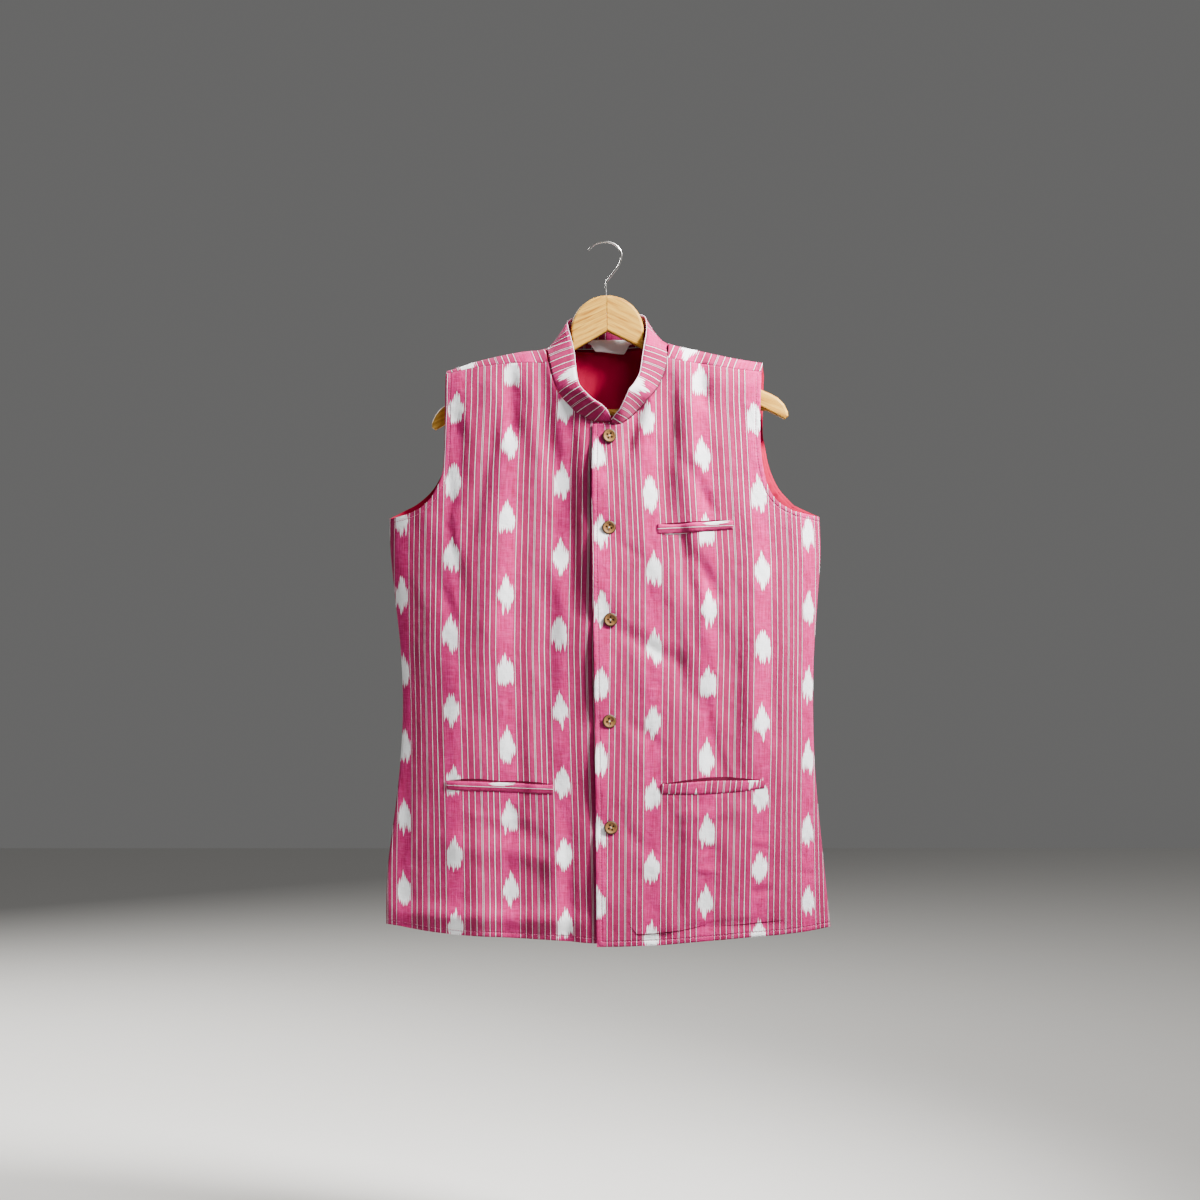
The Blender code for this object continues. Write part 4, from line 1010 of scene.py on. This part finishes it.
def collar_stations(steps):
    """The band's foot and top edge, from under the lap at the front round to the lapping end."""
    right, left, back = (smooth_curve(NECK[name], steps) for name in ("right", "left", "back"))
    feet, tops, runs = [], [], []
    lengths = (right[::-1], FRONT, True), (back, BACK, False), (left, FRONT, False)
    for rows, side, tucked in lengths:
        x, z = rows[:, 0], rows[:, 1]
        y = body_y(x, z, shoulder_line(x), np.full_like(x, side), 0, tucked)
        feet.append(np.stack([x, y, z], axis=1))
        tops.append(rows[:, 2:5])
        runs.append(rows[:, 5:])
    feet, tops = np.concatenate(feet), np.concatenate(tops)
    rise = tops - feet
    rise /= np.linalg.norm(rise, axis=1)[:, None]
    # Below the wearer's right collar point the foot reaches a little lower, over the seam.
    near = np.exp(-(((feet[:, 0] - FOOT_DIP_AT) / FOOT_DIP_WIDTH) ** 2)) * (feet[:, 1] < 0)
    lift = COLLAR_LIFT - FOOT_DIP * near
    return feet + rise * lift[:, None], tops, np.concatenate(runs)


feet, tops, runs = collar_stations(COLLAR_STEPS)
for line, edge in (("foot", feet), ("top", tops)):
    print("collar", line, round(np.linalg.norm(np.diff(edge, axis=0), axis=1).sum(), 1), "mm")


def add_wall(piece, thickness, offset):
    """Gives a bent sheet its thickness, inwards at -1 and both ways at 0."""
    wall = piece.modifiers.new("wall", "SOLIDIFY")
    wall.thickness, wall.offset = thickness * MM, offset


def make_collar():
    bm = bmesh.new()
    bmesh.ops.create_grid(bm, x_segments=len(feet) - 1, y_segments=COLLAR_ROWS, size=0.5)
    edge, stitch, bare = note_layers(bm, "edge", "stitch", "bare")
    where = {}
    for vert in bm.verts:
        i = int(round((vert.co.x + 0.5) * (len(feet) - 1)))
        up = vert.co.y + 0.5
        height = np.linalg.norm(tops[i] - feet[i])
        outward = np.array([feet[i][0], feet[i][1], 0])
        outward /= np.linalg.norm(outward)
        bow = COLLAR_BOW * math.sin(math.pi * up) * min(1, height / COLLAR_FULL_BOW_HEIGHT)
        vert.co = (feet[i] + (tops[i] - feet[i]) * up + outward * bow) * MM
        vert[edge] = min(up * height, (1 - up) * height + 3.0) * MM
        vert[stitch] = 1.0
        across = runs[i][0] + (runs[i][1] - runs[i][0]) * up
        vert[bare] = BARE_BAND[0] < across < BARE_BAND[1]
        where[vert] = (across * MM, (MOTIF_AT_TOP - (1 - up) * height) * MM)
    lay_on_cloth(bm, where)
    bmesh.ops.recalc_face_normals(bm, faces=bm.faces)
    middle = bm.faces[len(bm.faces) // 2]
    if middle.normal.dot(middle.calc_center_median()) < 0:
        bmesh.ops.reverse_faces(bm, faces=bm.faces)
    collar = add_piece("collar_cloth", bm, CLOTH)
    add_wall(collar, COLLAR_WALL, -1)
    return dress(collar, "jacket_cloth", "collar")


collar = make_collar()

# %% Piping on the collar's top edge, its pale colour a painted highlight
PIPING_DROP, PIPING_RADIUS = 0.6, 0.55
SOFT_COTTON = {"Roughness": 0.85, "Sheen Weight": 0.1}
# Painted highlight: the piping's pale pink stands for the light caught along the collar's top edge.
PIPING_HIGHLIGHT = grained("piping_painted_highlight", SOFT_COTTON, paint(214, 190, 202), paint(188, 150, 168),
                 900, 2, share=0.6, relief=0.2)
THREAD = grained("white_cotton", SOFT_COTTON, paint(238, 236, 232), paint(206, 202, 196),
                 900, 2, share=0.6, relief=0.2)


def tube(name, route, radius, material, sides=3):
    """A round cord along a route in mm, turned into a mesh."""
    curve = bpy.data.curves.new(name, "CURVE")
    curve.dimensions, curve.bevel_depth = "3D", radius * MM
    curve.bevel_resolution, curve.use_fill_caps = sides, True
    spline = curve.splines.new("POLY")
    spline.points.add(len(route) - 1)
    for point, spot in zip(spline.points, route):
        point.co = (*(np.array(spot) * MM), 1)
    mesh = mesh_of(link_object(name, curve))
    mesh.materials.clear()
    mesh.materials.append(material)
    mesh.shade_smooth()
    return link_object(name, mesh)


inward = np.stack([tops[:, 0], tops[:, 1], np.zeros(len(tops))], axis=1)
inward /= np.linalg.norm(inward, axis=1)[:, None]
route = tops - inward * PIPING_DROP
piping = dress(tube("collar_piping_highlight", route, PIPING_RADIUS, PIPING_HIGHLIGHT), "jacket_cloth")

# %% [markdown]
# ## Pocket welts
# A welt pocket shows as a narrow folded strip over the pocket's mouth. Each is cut as a flat strip
# on the front's own form and moved out by the cloth's thickness. On two of them the stripes run
# along the strip, and on the lower left one of the wearer's they run across it.

# %% Welts, mm
WELTS = {
    "chest_welt": ((63.6, -350.9), (110, -349.6), (156, -347.2), (156.2, -357.1),
                   (110, -360.8), (63, -362.1)),
    "pocket_welt_left": ((67.5, -670.8), (130, -667.5), (195.5, -667.4), (195.5, -676.8),
                         (155, -681.6), (116.6, -683.7), (67.5, -682.6)),
    "pocket_welt_right": ((-195.9, -667.1), (-130, -669.6), (-64.5, -672.1), (-65.7, -683.2),
                          (-130, -680.9), (-195.9, -678.3)),
}
LEFT_MOUTH_LEVEL = -675


def along_strip(middle, motif_at):
    """The run of a strip cut along the stripes, with one line along `middle` and one motif."""
    def run(spots):
        x, z = spots[:, 0], spots[:, 2]
        line = np.interp(x, *zip(*middle))
        return LAST_LINE + z - line, x - motif_at + MOTIF_REPEAT / 2
    return run


def across_strip(shift, motif_at):
    """The run of a strip cut across the stripes, moved from the front's own."""
    def run(spots):
        x, z = spots[:, 0], spots[:, 2]
        leaning = (z - LEFT_MOUTH_LEVEL) * 0.1
        return across_cloth("front_left", x - shift - leaning, z), z - motif_at
    return run


WELT_RUN = {
    "chest_welt": along_strip(((63.3, -356.5), (156, -352.2)), 142),
    "pocket_welt_left": across_strip(-13.2, -699),
    "pocket_welt_right": along_strip(((-195.9, -672.7), (-130, -675.3), (-65, -677.7)), -122),
}


def welt_face(foot):
    """The welt's face rises from its sewn foot to the full thickness."""
    def depth(pattern):
        risen = smooth_step(distance_to([foot], pattern) / WELT_RISE)
        return -WELT_LIFT - WELT_FOOT - (WELT_WALL - WELT_FOOT) * risen
    return depth


def lay_strip(name, outline, material, outer, inner, run, *nodes):
    """Cuts a small piece of cloth and lays it on the front that its name tells."""
    bm = cut_pattern(outline, STRIP_CELL)
    fold_cloth(bm, name, outline, [outline[:1]], FRONT, outer, inner, "right" in name, run)
    dress(add_piece(name, bm, material, material), "jacket_cloth", *nodes)


for name, corners in WELTS.items():
    outline = to_pattern(corners)
    lay_strip(name + "_cloth", outline, CLOTH, welt_face(outline[3:]), -WELT_LIFT,
              WELT_RUN[name], name)

# %% Painted shadow in the pockets' mouths and under the bag creases, mm
PAINTED_SHADOW_STRIPS = {
    "chest": ((64.5, -350.2), (110, -348.8), (154, -346.6), (140, -345.4), (110, -347.2),
              (80, -348.9)),
    "left": ((69, -670), (130, -666.8), (193.5, -666.8), (176, -664.8), (150, -662.4),
             (125, -662.8), (96, -666.4)),
    "right": ((-194, -666.4), (-130, -668.9), (-66, -671.4), (-84, -668.6), (-110, -667.4),
              (-130, -667.6), (-155, -664.6), (-176, -664.6)),
}
# Painted shadow: a thin dark line under the crease where each pocket bag presses through the front.
BAG_CREASE_SHADOW = (((28.3, -840), (31.5, -848.5), (38, -856), (60, -855), (92, -851.5),
             (110, -848), (124.5, -843.5)),
            ((140, -845.5), (165, -845), (190, -842.5), (219, -839.5)))
BAG_CREASE_SHADOW_WIDTH = 0.9


def narrow_strip(line, width):
    """The outline of a strip along a line, pointed at both ends."""
    upper = [(x, z + width / 2) for x, z in line[1:-1]]
    lower = [(x, z - width / 2) for x, z in line[1:-1]]
    return [line[0]] + lower + [line[-1]] + upper[::-1]


# Painted shadow: a dark red strip stands for the shade inside each pocket's gaping mouth and under
# each bag crease.
PAINTED_POCKET_SHADOW = grained("painted_pocket_shadow", {"Roughness": 0.9, "Specular IOR Level": 0.1},
                 paint(58, 8, 26), paint(88, 14, 42), 1800, relief=0.1)
for number, line in enumerate(BAG_CREASE_SHADOW):
    PAINTED_SHADOW_STRIPS[f"bag_seam_{number}"] = narrow_strip(line, BAG_CREASE_SHADOW_WIDTH)
for name, corners in PAINTED_SHADOW_STRIPS.items():
    lay_strip("painted_shadow_" + name, to_pattern(corners), PAINTED_POCKET_SHADOW, -MOUTH_LIFT, MOUTH_SUNK,
              lambda spots: (spots[:, 0], spots[:, 2]))

# %% [markdown]
# ## The label
# A small bare satin strip is sewn inside the back of the neck by its top edge. Its lower corners
# are folded in, and its foot curls a little.

# %% Label
LABEL_LEFT, LABEL_RIGHT, LABEL_TOP, LABEL_MIDDLE = -22.3, 32.2, -119, -129
LABEL_DROP, LABEL_WALL, LABEL_STAND_OFF = 16.5, 1, 6.8
CORNER_WIDTH, FOOT_WAVE, CURL, CURL_WAVE = 9, 1.6, 2.6, 0.7


def satin():
    label = Finish("label_satin", {"Roughness": 0.35, "Sheen Weight": 0.2})
    x, _, z = label.parts(label.here())
    thread = label.drawn(x * 400, z * 5200, detail=1)
    colour = label.mix(thread * 0.5, paint(254, 254, 253), paint(242, 241, 242))
    return label.finish(Base_Color=colour, Normal=label.bump(thread * 0.08))


def make_label():
    bm = bmesh.new()
    bmesh.ops.create_grid(bm, x_segments=28, y_segments=8, size=0.5)
    x = np.array([v.co.x + 0.5 for v in bm.verts]) * (LABEL_RIGHT - LABEL_LEFT) + LABEL_LEFT
    drop = np.array([0.5 - v.co.y for v in bm.verts])
    z = np.full_like(x, LABEL_MIDDLE)
    y = body_y(x, z, shoulder_line(x), np.full_like(x, BACK), 0, False) - LABEL_STAND_OFF
    corner = np.clip(np.minimum(x - LABEL_LEFT, LABEL_RIGHT - x) / CORNER_WIDTH, 0.35, 1)
    wave = FOOT_WAVE * np.sin((x - LABEL_LEFT) / 11 + 0.6) * corner
    foot = LABEL_TOP - LABEL_DROP * corner + wave
    for vert, across, deep, share, low in zip(bm.verts, x, y, drop, foot):
        curl = -CURL * share - CURL_WAVE * share * share * math.sin(across / 7)
        vert.co = (across * MM, (deep + curl) * MM, (LABEL_TOP + (low - LABEL_TOP) * share) * MM)
    bmesh.ops.recalc_face_normals(bm, faces=bm.faces)
    label = add_piece("label_satin_strip", bm, satin())
    add_wall(label, LABEL_WALL, 0)
    return dress(label, "label_satin", "label")


label = make_label()

# %% [markdown]
# ## Coconut buttons
# The buttons are cut from coconut shell: brown, with short darker fibres, a dished middle, a rim
# left dark from the outer shell, and four holes. The turned shape is one spun profile. The holes
# are cut with a Boolean and end just above the button's foot, so that no light comes through, and
# white thread crosses between them. The holes' walls and floors are painted near black, as
# painted shade.

# %% Button finish
def coconut():
    shell = Finish("button_shell", {"Roughness": 0.5, "Specular IOR Level": 0.3})
    here = shell.here()
    drawn = shell.node("ShaderNodeMapping", None, {"Vector": here, "Scale": (900, 900, 2600)})
    fibre = shell.noise(drawn, 1, 3)
    spots = shell.noise(here, 1500, 2)
    colour = shell.mix(((fibre - 0.4) * 2.4).limited(), paint(132, 94, 52), paint(84, 52, 26))
    colour = shell.mix(((spots - 0.6) * 6).limited(), colour, paint(54, 30, 18))
    colour = shell.mix(shell.noted("rim"), colour, paint(34, 18, 12))
    return shell.finish(Base_Color=colour, Normal=shell.bump(fibre * 0.12 + spots * 0.06))


PROFILE = ((0, 1.7), (3.6, 1.75), (5, 1.95), (5.9, 2.45), (6.6, 2.72), (7.4, 2.7), (8.1, 2.3),
           (8.5, 1.6), (8.4, 0.9), (7.9, 0.35), (6.4, 0), (0, 0))
HOLE_SPACING, HOLE_RADIUS, HOLE_FLOOR, HOLE_DEPTH = 4.5, 1.25, 0.5, 6
RIM_FROM, RIM_WIDTH, SEAT, TURN_EACH = 6.9, 0.9, 1.35, 0.25
THREAD_HALF, THREAD_HEIGHT = (1.3, 0.2, 0.2), 2


# %% Button shape
def spun_button():
    """One turned button about the origin, mm, with its four blind holes."""
    bm = bmesh.new()
    chain = [bm.verts.new((radius, 0, height)) for radius, height in PROFILE]
    edges = [bm.edges.new(pair) for pair in zip(chain, chain[1:])]
    bmesh.ops.spin(bm, geom=chain + edges, cent=(0, 0, 0), axis=(0, 0, 1), angle=2 * math.pi,
                   steps=56, use_merge=True)
    bmesh.ops.remove_doubles(bm, verts=bm.verts, dist=0.01)
    bmesh.ops.recalc_face_normals(bm, faces=bm.faces)
    cutter = bmesh.new()
    off = HOLE_SPACING / 2
    for x, y in ((-off, -off), (-off, off), (off, -off), (off, off)):
        spot = Matrix.Translation((x, y, HOLE_FLOOR + HOLE_DEPTH / 2))
        bmesh.ops.create_cone(cutter, cap_ends=True, segments=20, radius1=HOLE_RADIUS,
                              radius2=HOLE_RADIUS, depth=HOLE_DEPTH, matrix=spot)
    blank = add_piece("button_blank", bm)
    holes = add_piece("button_holes", cutter)
    cut = blank.modifiers.new("holes", "BOOLEAN")
    cut.operation, cut.object, cut.solver = "DIFFERENCE", holes, "EXACT"
    solid = mesh_of(blank)
    bpy.data.objects.remove(holes, do_unlink=True)
    return solid


def outward_at(x, z, step=4.0):
    """The direction straight out of the lapping front at x and z."""
    xs, zs = np.array([(x, z), (x + step, z), (x, z + step)]).T
    y = body_y(xs, zs, shoulder_line(xs), np.full(3, FRONT), 0.0, False)
    return Vector(((y[1] - y[0]) / step, -1.0, (y[2] - y[0]) / step)).normalized()


def paint_hole_shadow(bm):
    """Gives the walls and floors of the holes the second finish, a near-black painted shade."""
    for face in bm.faces:
        centre = face.calc_center_median()
        x, y = abs(centre.x) - HOLE_SPACING / 2, abs(centre.y) - HOLE_SPACING / 2
        sunk = abs(face.normal.z) < 0.5 or centre.z < HOLE_FLOOR + 0.7
        face.material_index = int(math.hypot(x, y) < HOLE_RADIUS + 0.05 and sunk)


def rim_share(spot):
    """0 over most of a button, and 1 where its dark rim is."""
    return min(max((math.hypot(spot.x, spot.y) - RIM_FROM) / RIM_WIDTH, 0.0), 1.0)


SHELL = coconut()
# Painted shade: a near-black finish for the holes' walls and floors, where the shadow in the holes
# falls.
HOLE_SHADOW = grained("button_hole", {"Roughness": 0.9}, paint(16, 9, 6), paint(34, 19, 12), 1200, 2)
turned = spun_button()
for number, (x, z) in enumerate(BUTTONS, start=1):
    outward = outward_at(x, z)
    node = f"button_{number}"
    middle = (Vector(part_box(node)[0]) + Vector(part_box(node)[1])) / 2 / MM
    seat = Matrix.Translation((middle - outward * SEAT) * MM)
    turn = seat @ outward.to_track_quat("Z", "Y").to_matrix().to_4x4()
    turn = turn @ Matrix.Rotation(TURN_EACH * number, 4, "Z") @ Matrix.Scale(MM, 4)
    bm = bmesh.new()
    bm.from_mesh(turned)
    rim = bm.verts.layers.float.new("rim")
    for vert in bm.verts:
        vert[rim] = rim_share(vert.co)
    paint_hole_shadow(bm)
    bmesh.ops.transform(bm, matrix=turn, verts=bm.verts)
    dress(add_piece(node + "_shell", bm, SHELL, HOLE_SHADOW, smooth=35), "button_shell", node)
    thread = bmesh.new()
    for way in (math.pi / 4, -math.pi / 4):
        shape = Matrix.Translation((0, 0, THREAD_HEIGHT)) @ Matrix.Rotation(way, 4, "Z")
        shape = turn @ (shape @ Matrix.Diagonal((*THREAD_HALF, 1.0)))
        bmesh.ops.create_uvsphere(thread, u_segments=10, v_segments=8, radius=1.0, matrix=shape)
    dress(add_piece(node + "_thread", thread, THREAD), "button_shell")

# %% [markdown]
# ## Topstitching
# Rows of short pink stitches hold down the hem, the armholes and the lapping edge, 6 mm in. Each
# stitch is a tiny stretched ball of a few faces, laid on the cloth along its row.

# %% Stitches, mm
STITCH_HALF, STITCH_GAP, STITCH_LIFT = (1.2, 0.32, 0.26), 3.3, 0.05
PINK_THREAD = grained("pink_thread", {"Roughness": 0.7}, paint(205, 92, 140), paint(150, 52, 92),
                      2200, share=0.5, relief=0.1)


def beside(run):
    """The directions a quarter turn to the left."""
    return np.stack([-run[:, 1], run[:, 0]], axis=1)


def inset_row(line, outline, inset):
    """Evenly spaced places along a line of the pattern, moved into the cloth."""
    line = np.array(line)
    gaps = np.hypot(*np.diff(line, axis=0).T)
    total = np.concatenate([[0], np.cumsum(gaps)])
    at = np.arange(inset, total[-1] - inset, STITCH_GAP)
    spots = np.stack([np.interp(at, total, column) for column in line.T], axis=1)
    ahead = np.stack([np.interp(at + 1, total, column) for column in line.T], axis=1)
    run = (ahead - spots) / np.maximum(np.hypot(*(ahead - spots).T)[:, None], 1e-6)
    side = beside(run)
    middle = np.array((np.mean([p[0] for p in outline]), HEIGHT * 0.4))
    side *= np.sign(((middle - spots) * side).sum(axis=1))[:, None]
    return spots + side * inset, run


def sew(name, node, side, tucked=False):
    """A row of stitches along each stitched line of a panel."""
    bm = bmesh.new()
    outline, rows = PANELS[node]
    for line in rows:
        spots, run = inset_row(line, outline, STITCH_INSET)
        laid = [place(flat, side, -STITCH_LIFT, tucked)
                for flat in (spots, spots + run, spots + beside(run))]
        for spot, ahead, aside in zip(*laid):
            along, across = (Vector(end - spot).normalized() for end in (ahead, aside))
            out = along.cross(across).normalized()
            turn = Matrix((along, out.cross(along), out)).transposed().to_4x4()
            shape = Matrix.Diagonal((*(half * MM for half in STITCH_HALF), 1.0))
            bmesh.ops.create_uvsphere(bm, u_segments=6, v_segments=4, radius=1.0,
                                      matrix=Matrix.Translation(Vector(spot) * MM) @ turn @ shape)
    return dress(add_piece(name, bm, PINK_THREAD), "jacket_cloth")


STITCHES = {
    "front_left": sew("stitches_left", "front_left", FRONT),
    "front_right": sew("stitches_right", "front_right", FRONT, tucked=True),
    "back": sew("stitches_back", "back", BACK),
}

# %% [markdown]
# ## The wooden hanger
# The hanger is two flat arms of pale softwood, joined on edge under the hook, so the grain of each
# arm rises towards the joint and meets there in a V. The grain is reckoned from the distance to
# that joint, turned to the arm's slope, and stretched along it.

# %% Wood
JOINT, HEAD, SLOPE = 0.0016, -0.111, 0.44


def pale_wood():
    wood = Finish("pale_wood", {"Specular IOR Level": 0.2})
    x, y, z = wood.parts(wood.here())
    out = abs(x - JOINT) * 1000
    up = (z - HEAD) * 1000
    along = out * math.cos(SLOPE) - up * math.sin(SLOPE)
    across = out * math.sin(SLOPE) + up * math.cos(SLOPE)
    left = (x > JOINT) * 3.7
    drift = wood.drawn(along / 70, across / 18, left)
    rings = ((across + drift * 16 + left * 2) / 7.5 + y * 60).fraction()
    rings = abs(rings - 0.5) * 2
    fibre = wood.drawn(along / 14, across / 0.5, y * 900, detail=3)
    blotch = wood.drawn(along / 55, across / 3.4, left)
    colour = wood.mix((rings * 0.5 + (fibre - 0.5) * 1.3).limited(), paint(199, 153, 62),
                      paint(148, 92, 24))
    colour = wood.mix(((blotch - 0.52) * 6).limited() * 0.8, colour, paint(122, 64, 14))
    joint = (1 - abs(x - JOINT) * 1600).limited()
    colour = wood.mix(joint * 0.7, colour, paint(96, 56, 14))
    height = (fibre - 0.5) * 0.12 + rings * 0.03
    return wood.finish(Base_Color=colour, Roughness=fibre * 0.18 + 0.34, Normal=wood.bump(height))


WOOD = pale_wood()
for node in ("hanger_arm_left", "hanger_arm_right", "hanger_bar"):
    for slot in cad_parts[node].material_slots:
        slot.material = WOOD

# %% [markdown]
# ## The wire hook
# The hook is bent from plated steel wire. It is a tube along the bent route, as thick as its
# solid but rounder, bright and a little scratched.

# %% Hook, mm
HOOK_RADIUS = 1.4
HOOK_ROUTE = ((-21.6, -9.6), (-18.6, -5.6), (-11.5, -0.6), (0, 1.4), (10.5, -1.6), (17.6, -9.2),
              (19.2, -18), (15.6, -28.6), (8.2, -38.6), (1.4, -47.6), (-0.3, -55.5), (0, -64.5),
              (0.4, -84))


def steel():
    metal = Finish("steel_wire", {"Metallic": 1, "Base Color": paint(205, 203, 200)})
    smear = metal.noise(metal.here(), 240, 3)
    scratch = metal.noise(metal.here(), 1800)
    return metal.finish(Roughness=smear * 0.22 + 0.14, Normal=metal.bump(scratch * 0.05))


route = [(x, 0, z) for x, z in smooth_curve(HOOK_ROUTE, 10)]
dress(tube("hook_wire", route, HOOK_RADIUS, steel(), sides=5), "steel_wire", "hook")

# %% [markdown]
# ## Floor
# A plain pale floor far below the hem, as under a garment rail, takes a soft shadow.

# %% Floor
FLOOR_HALF, FLOOR_LEVEL = 6, -1.28
bm = bmesh.new()
bmesh.ops.create_grid(bm, x_segments=1, y_segments=1, size=FLOOR_HALF)
bmesh.ops.translate(bm, vec=(0.0, 0.0, FLOOR_LEVEL), verts=bm.verts)
floor = add_piece("floor", bm, grained(
    "pale_floor", {"Roughness": 0.9}, paint(228, 227, 224), paint(220, 218, 214), 30, 3,
    share=0.3))
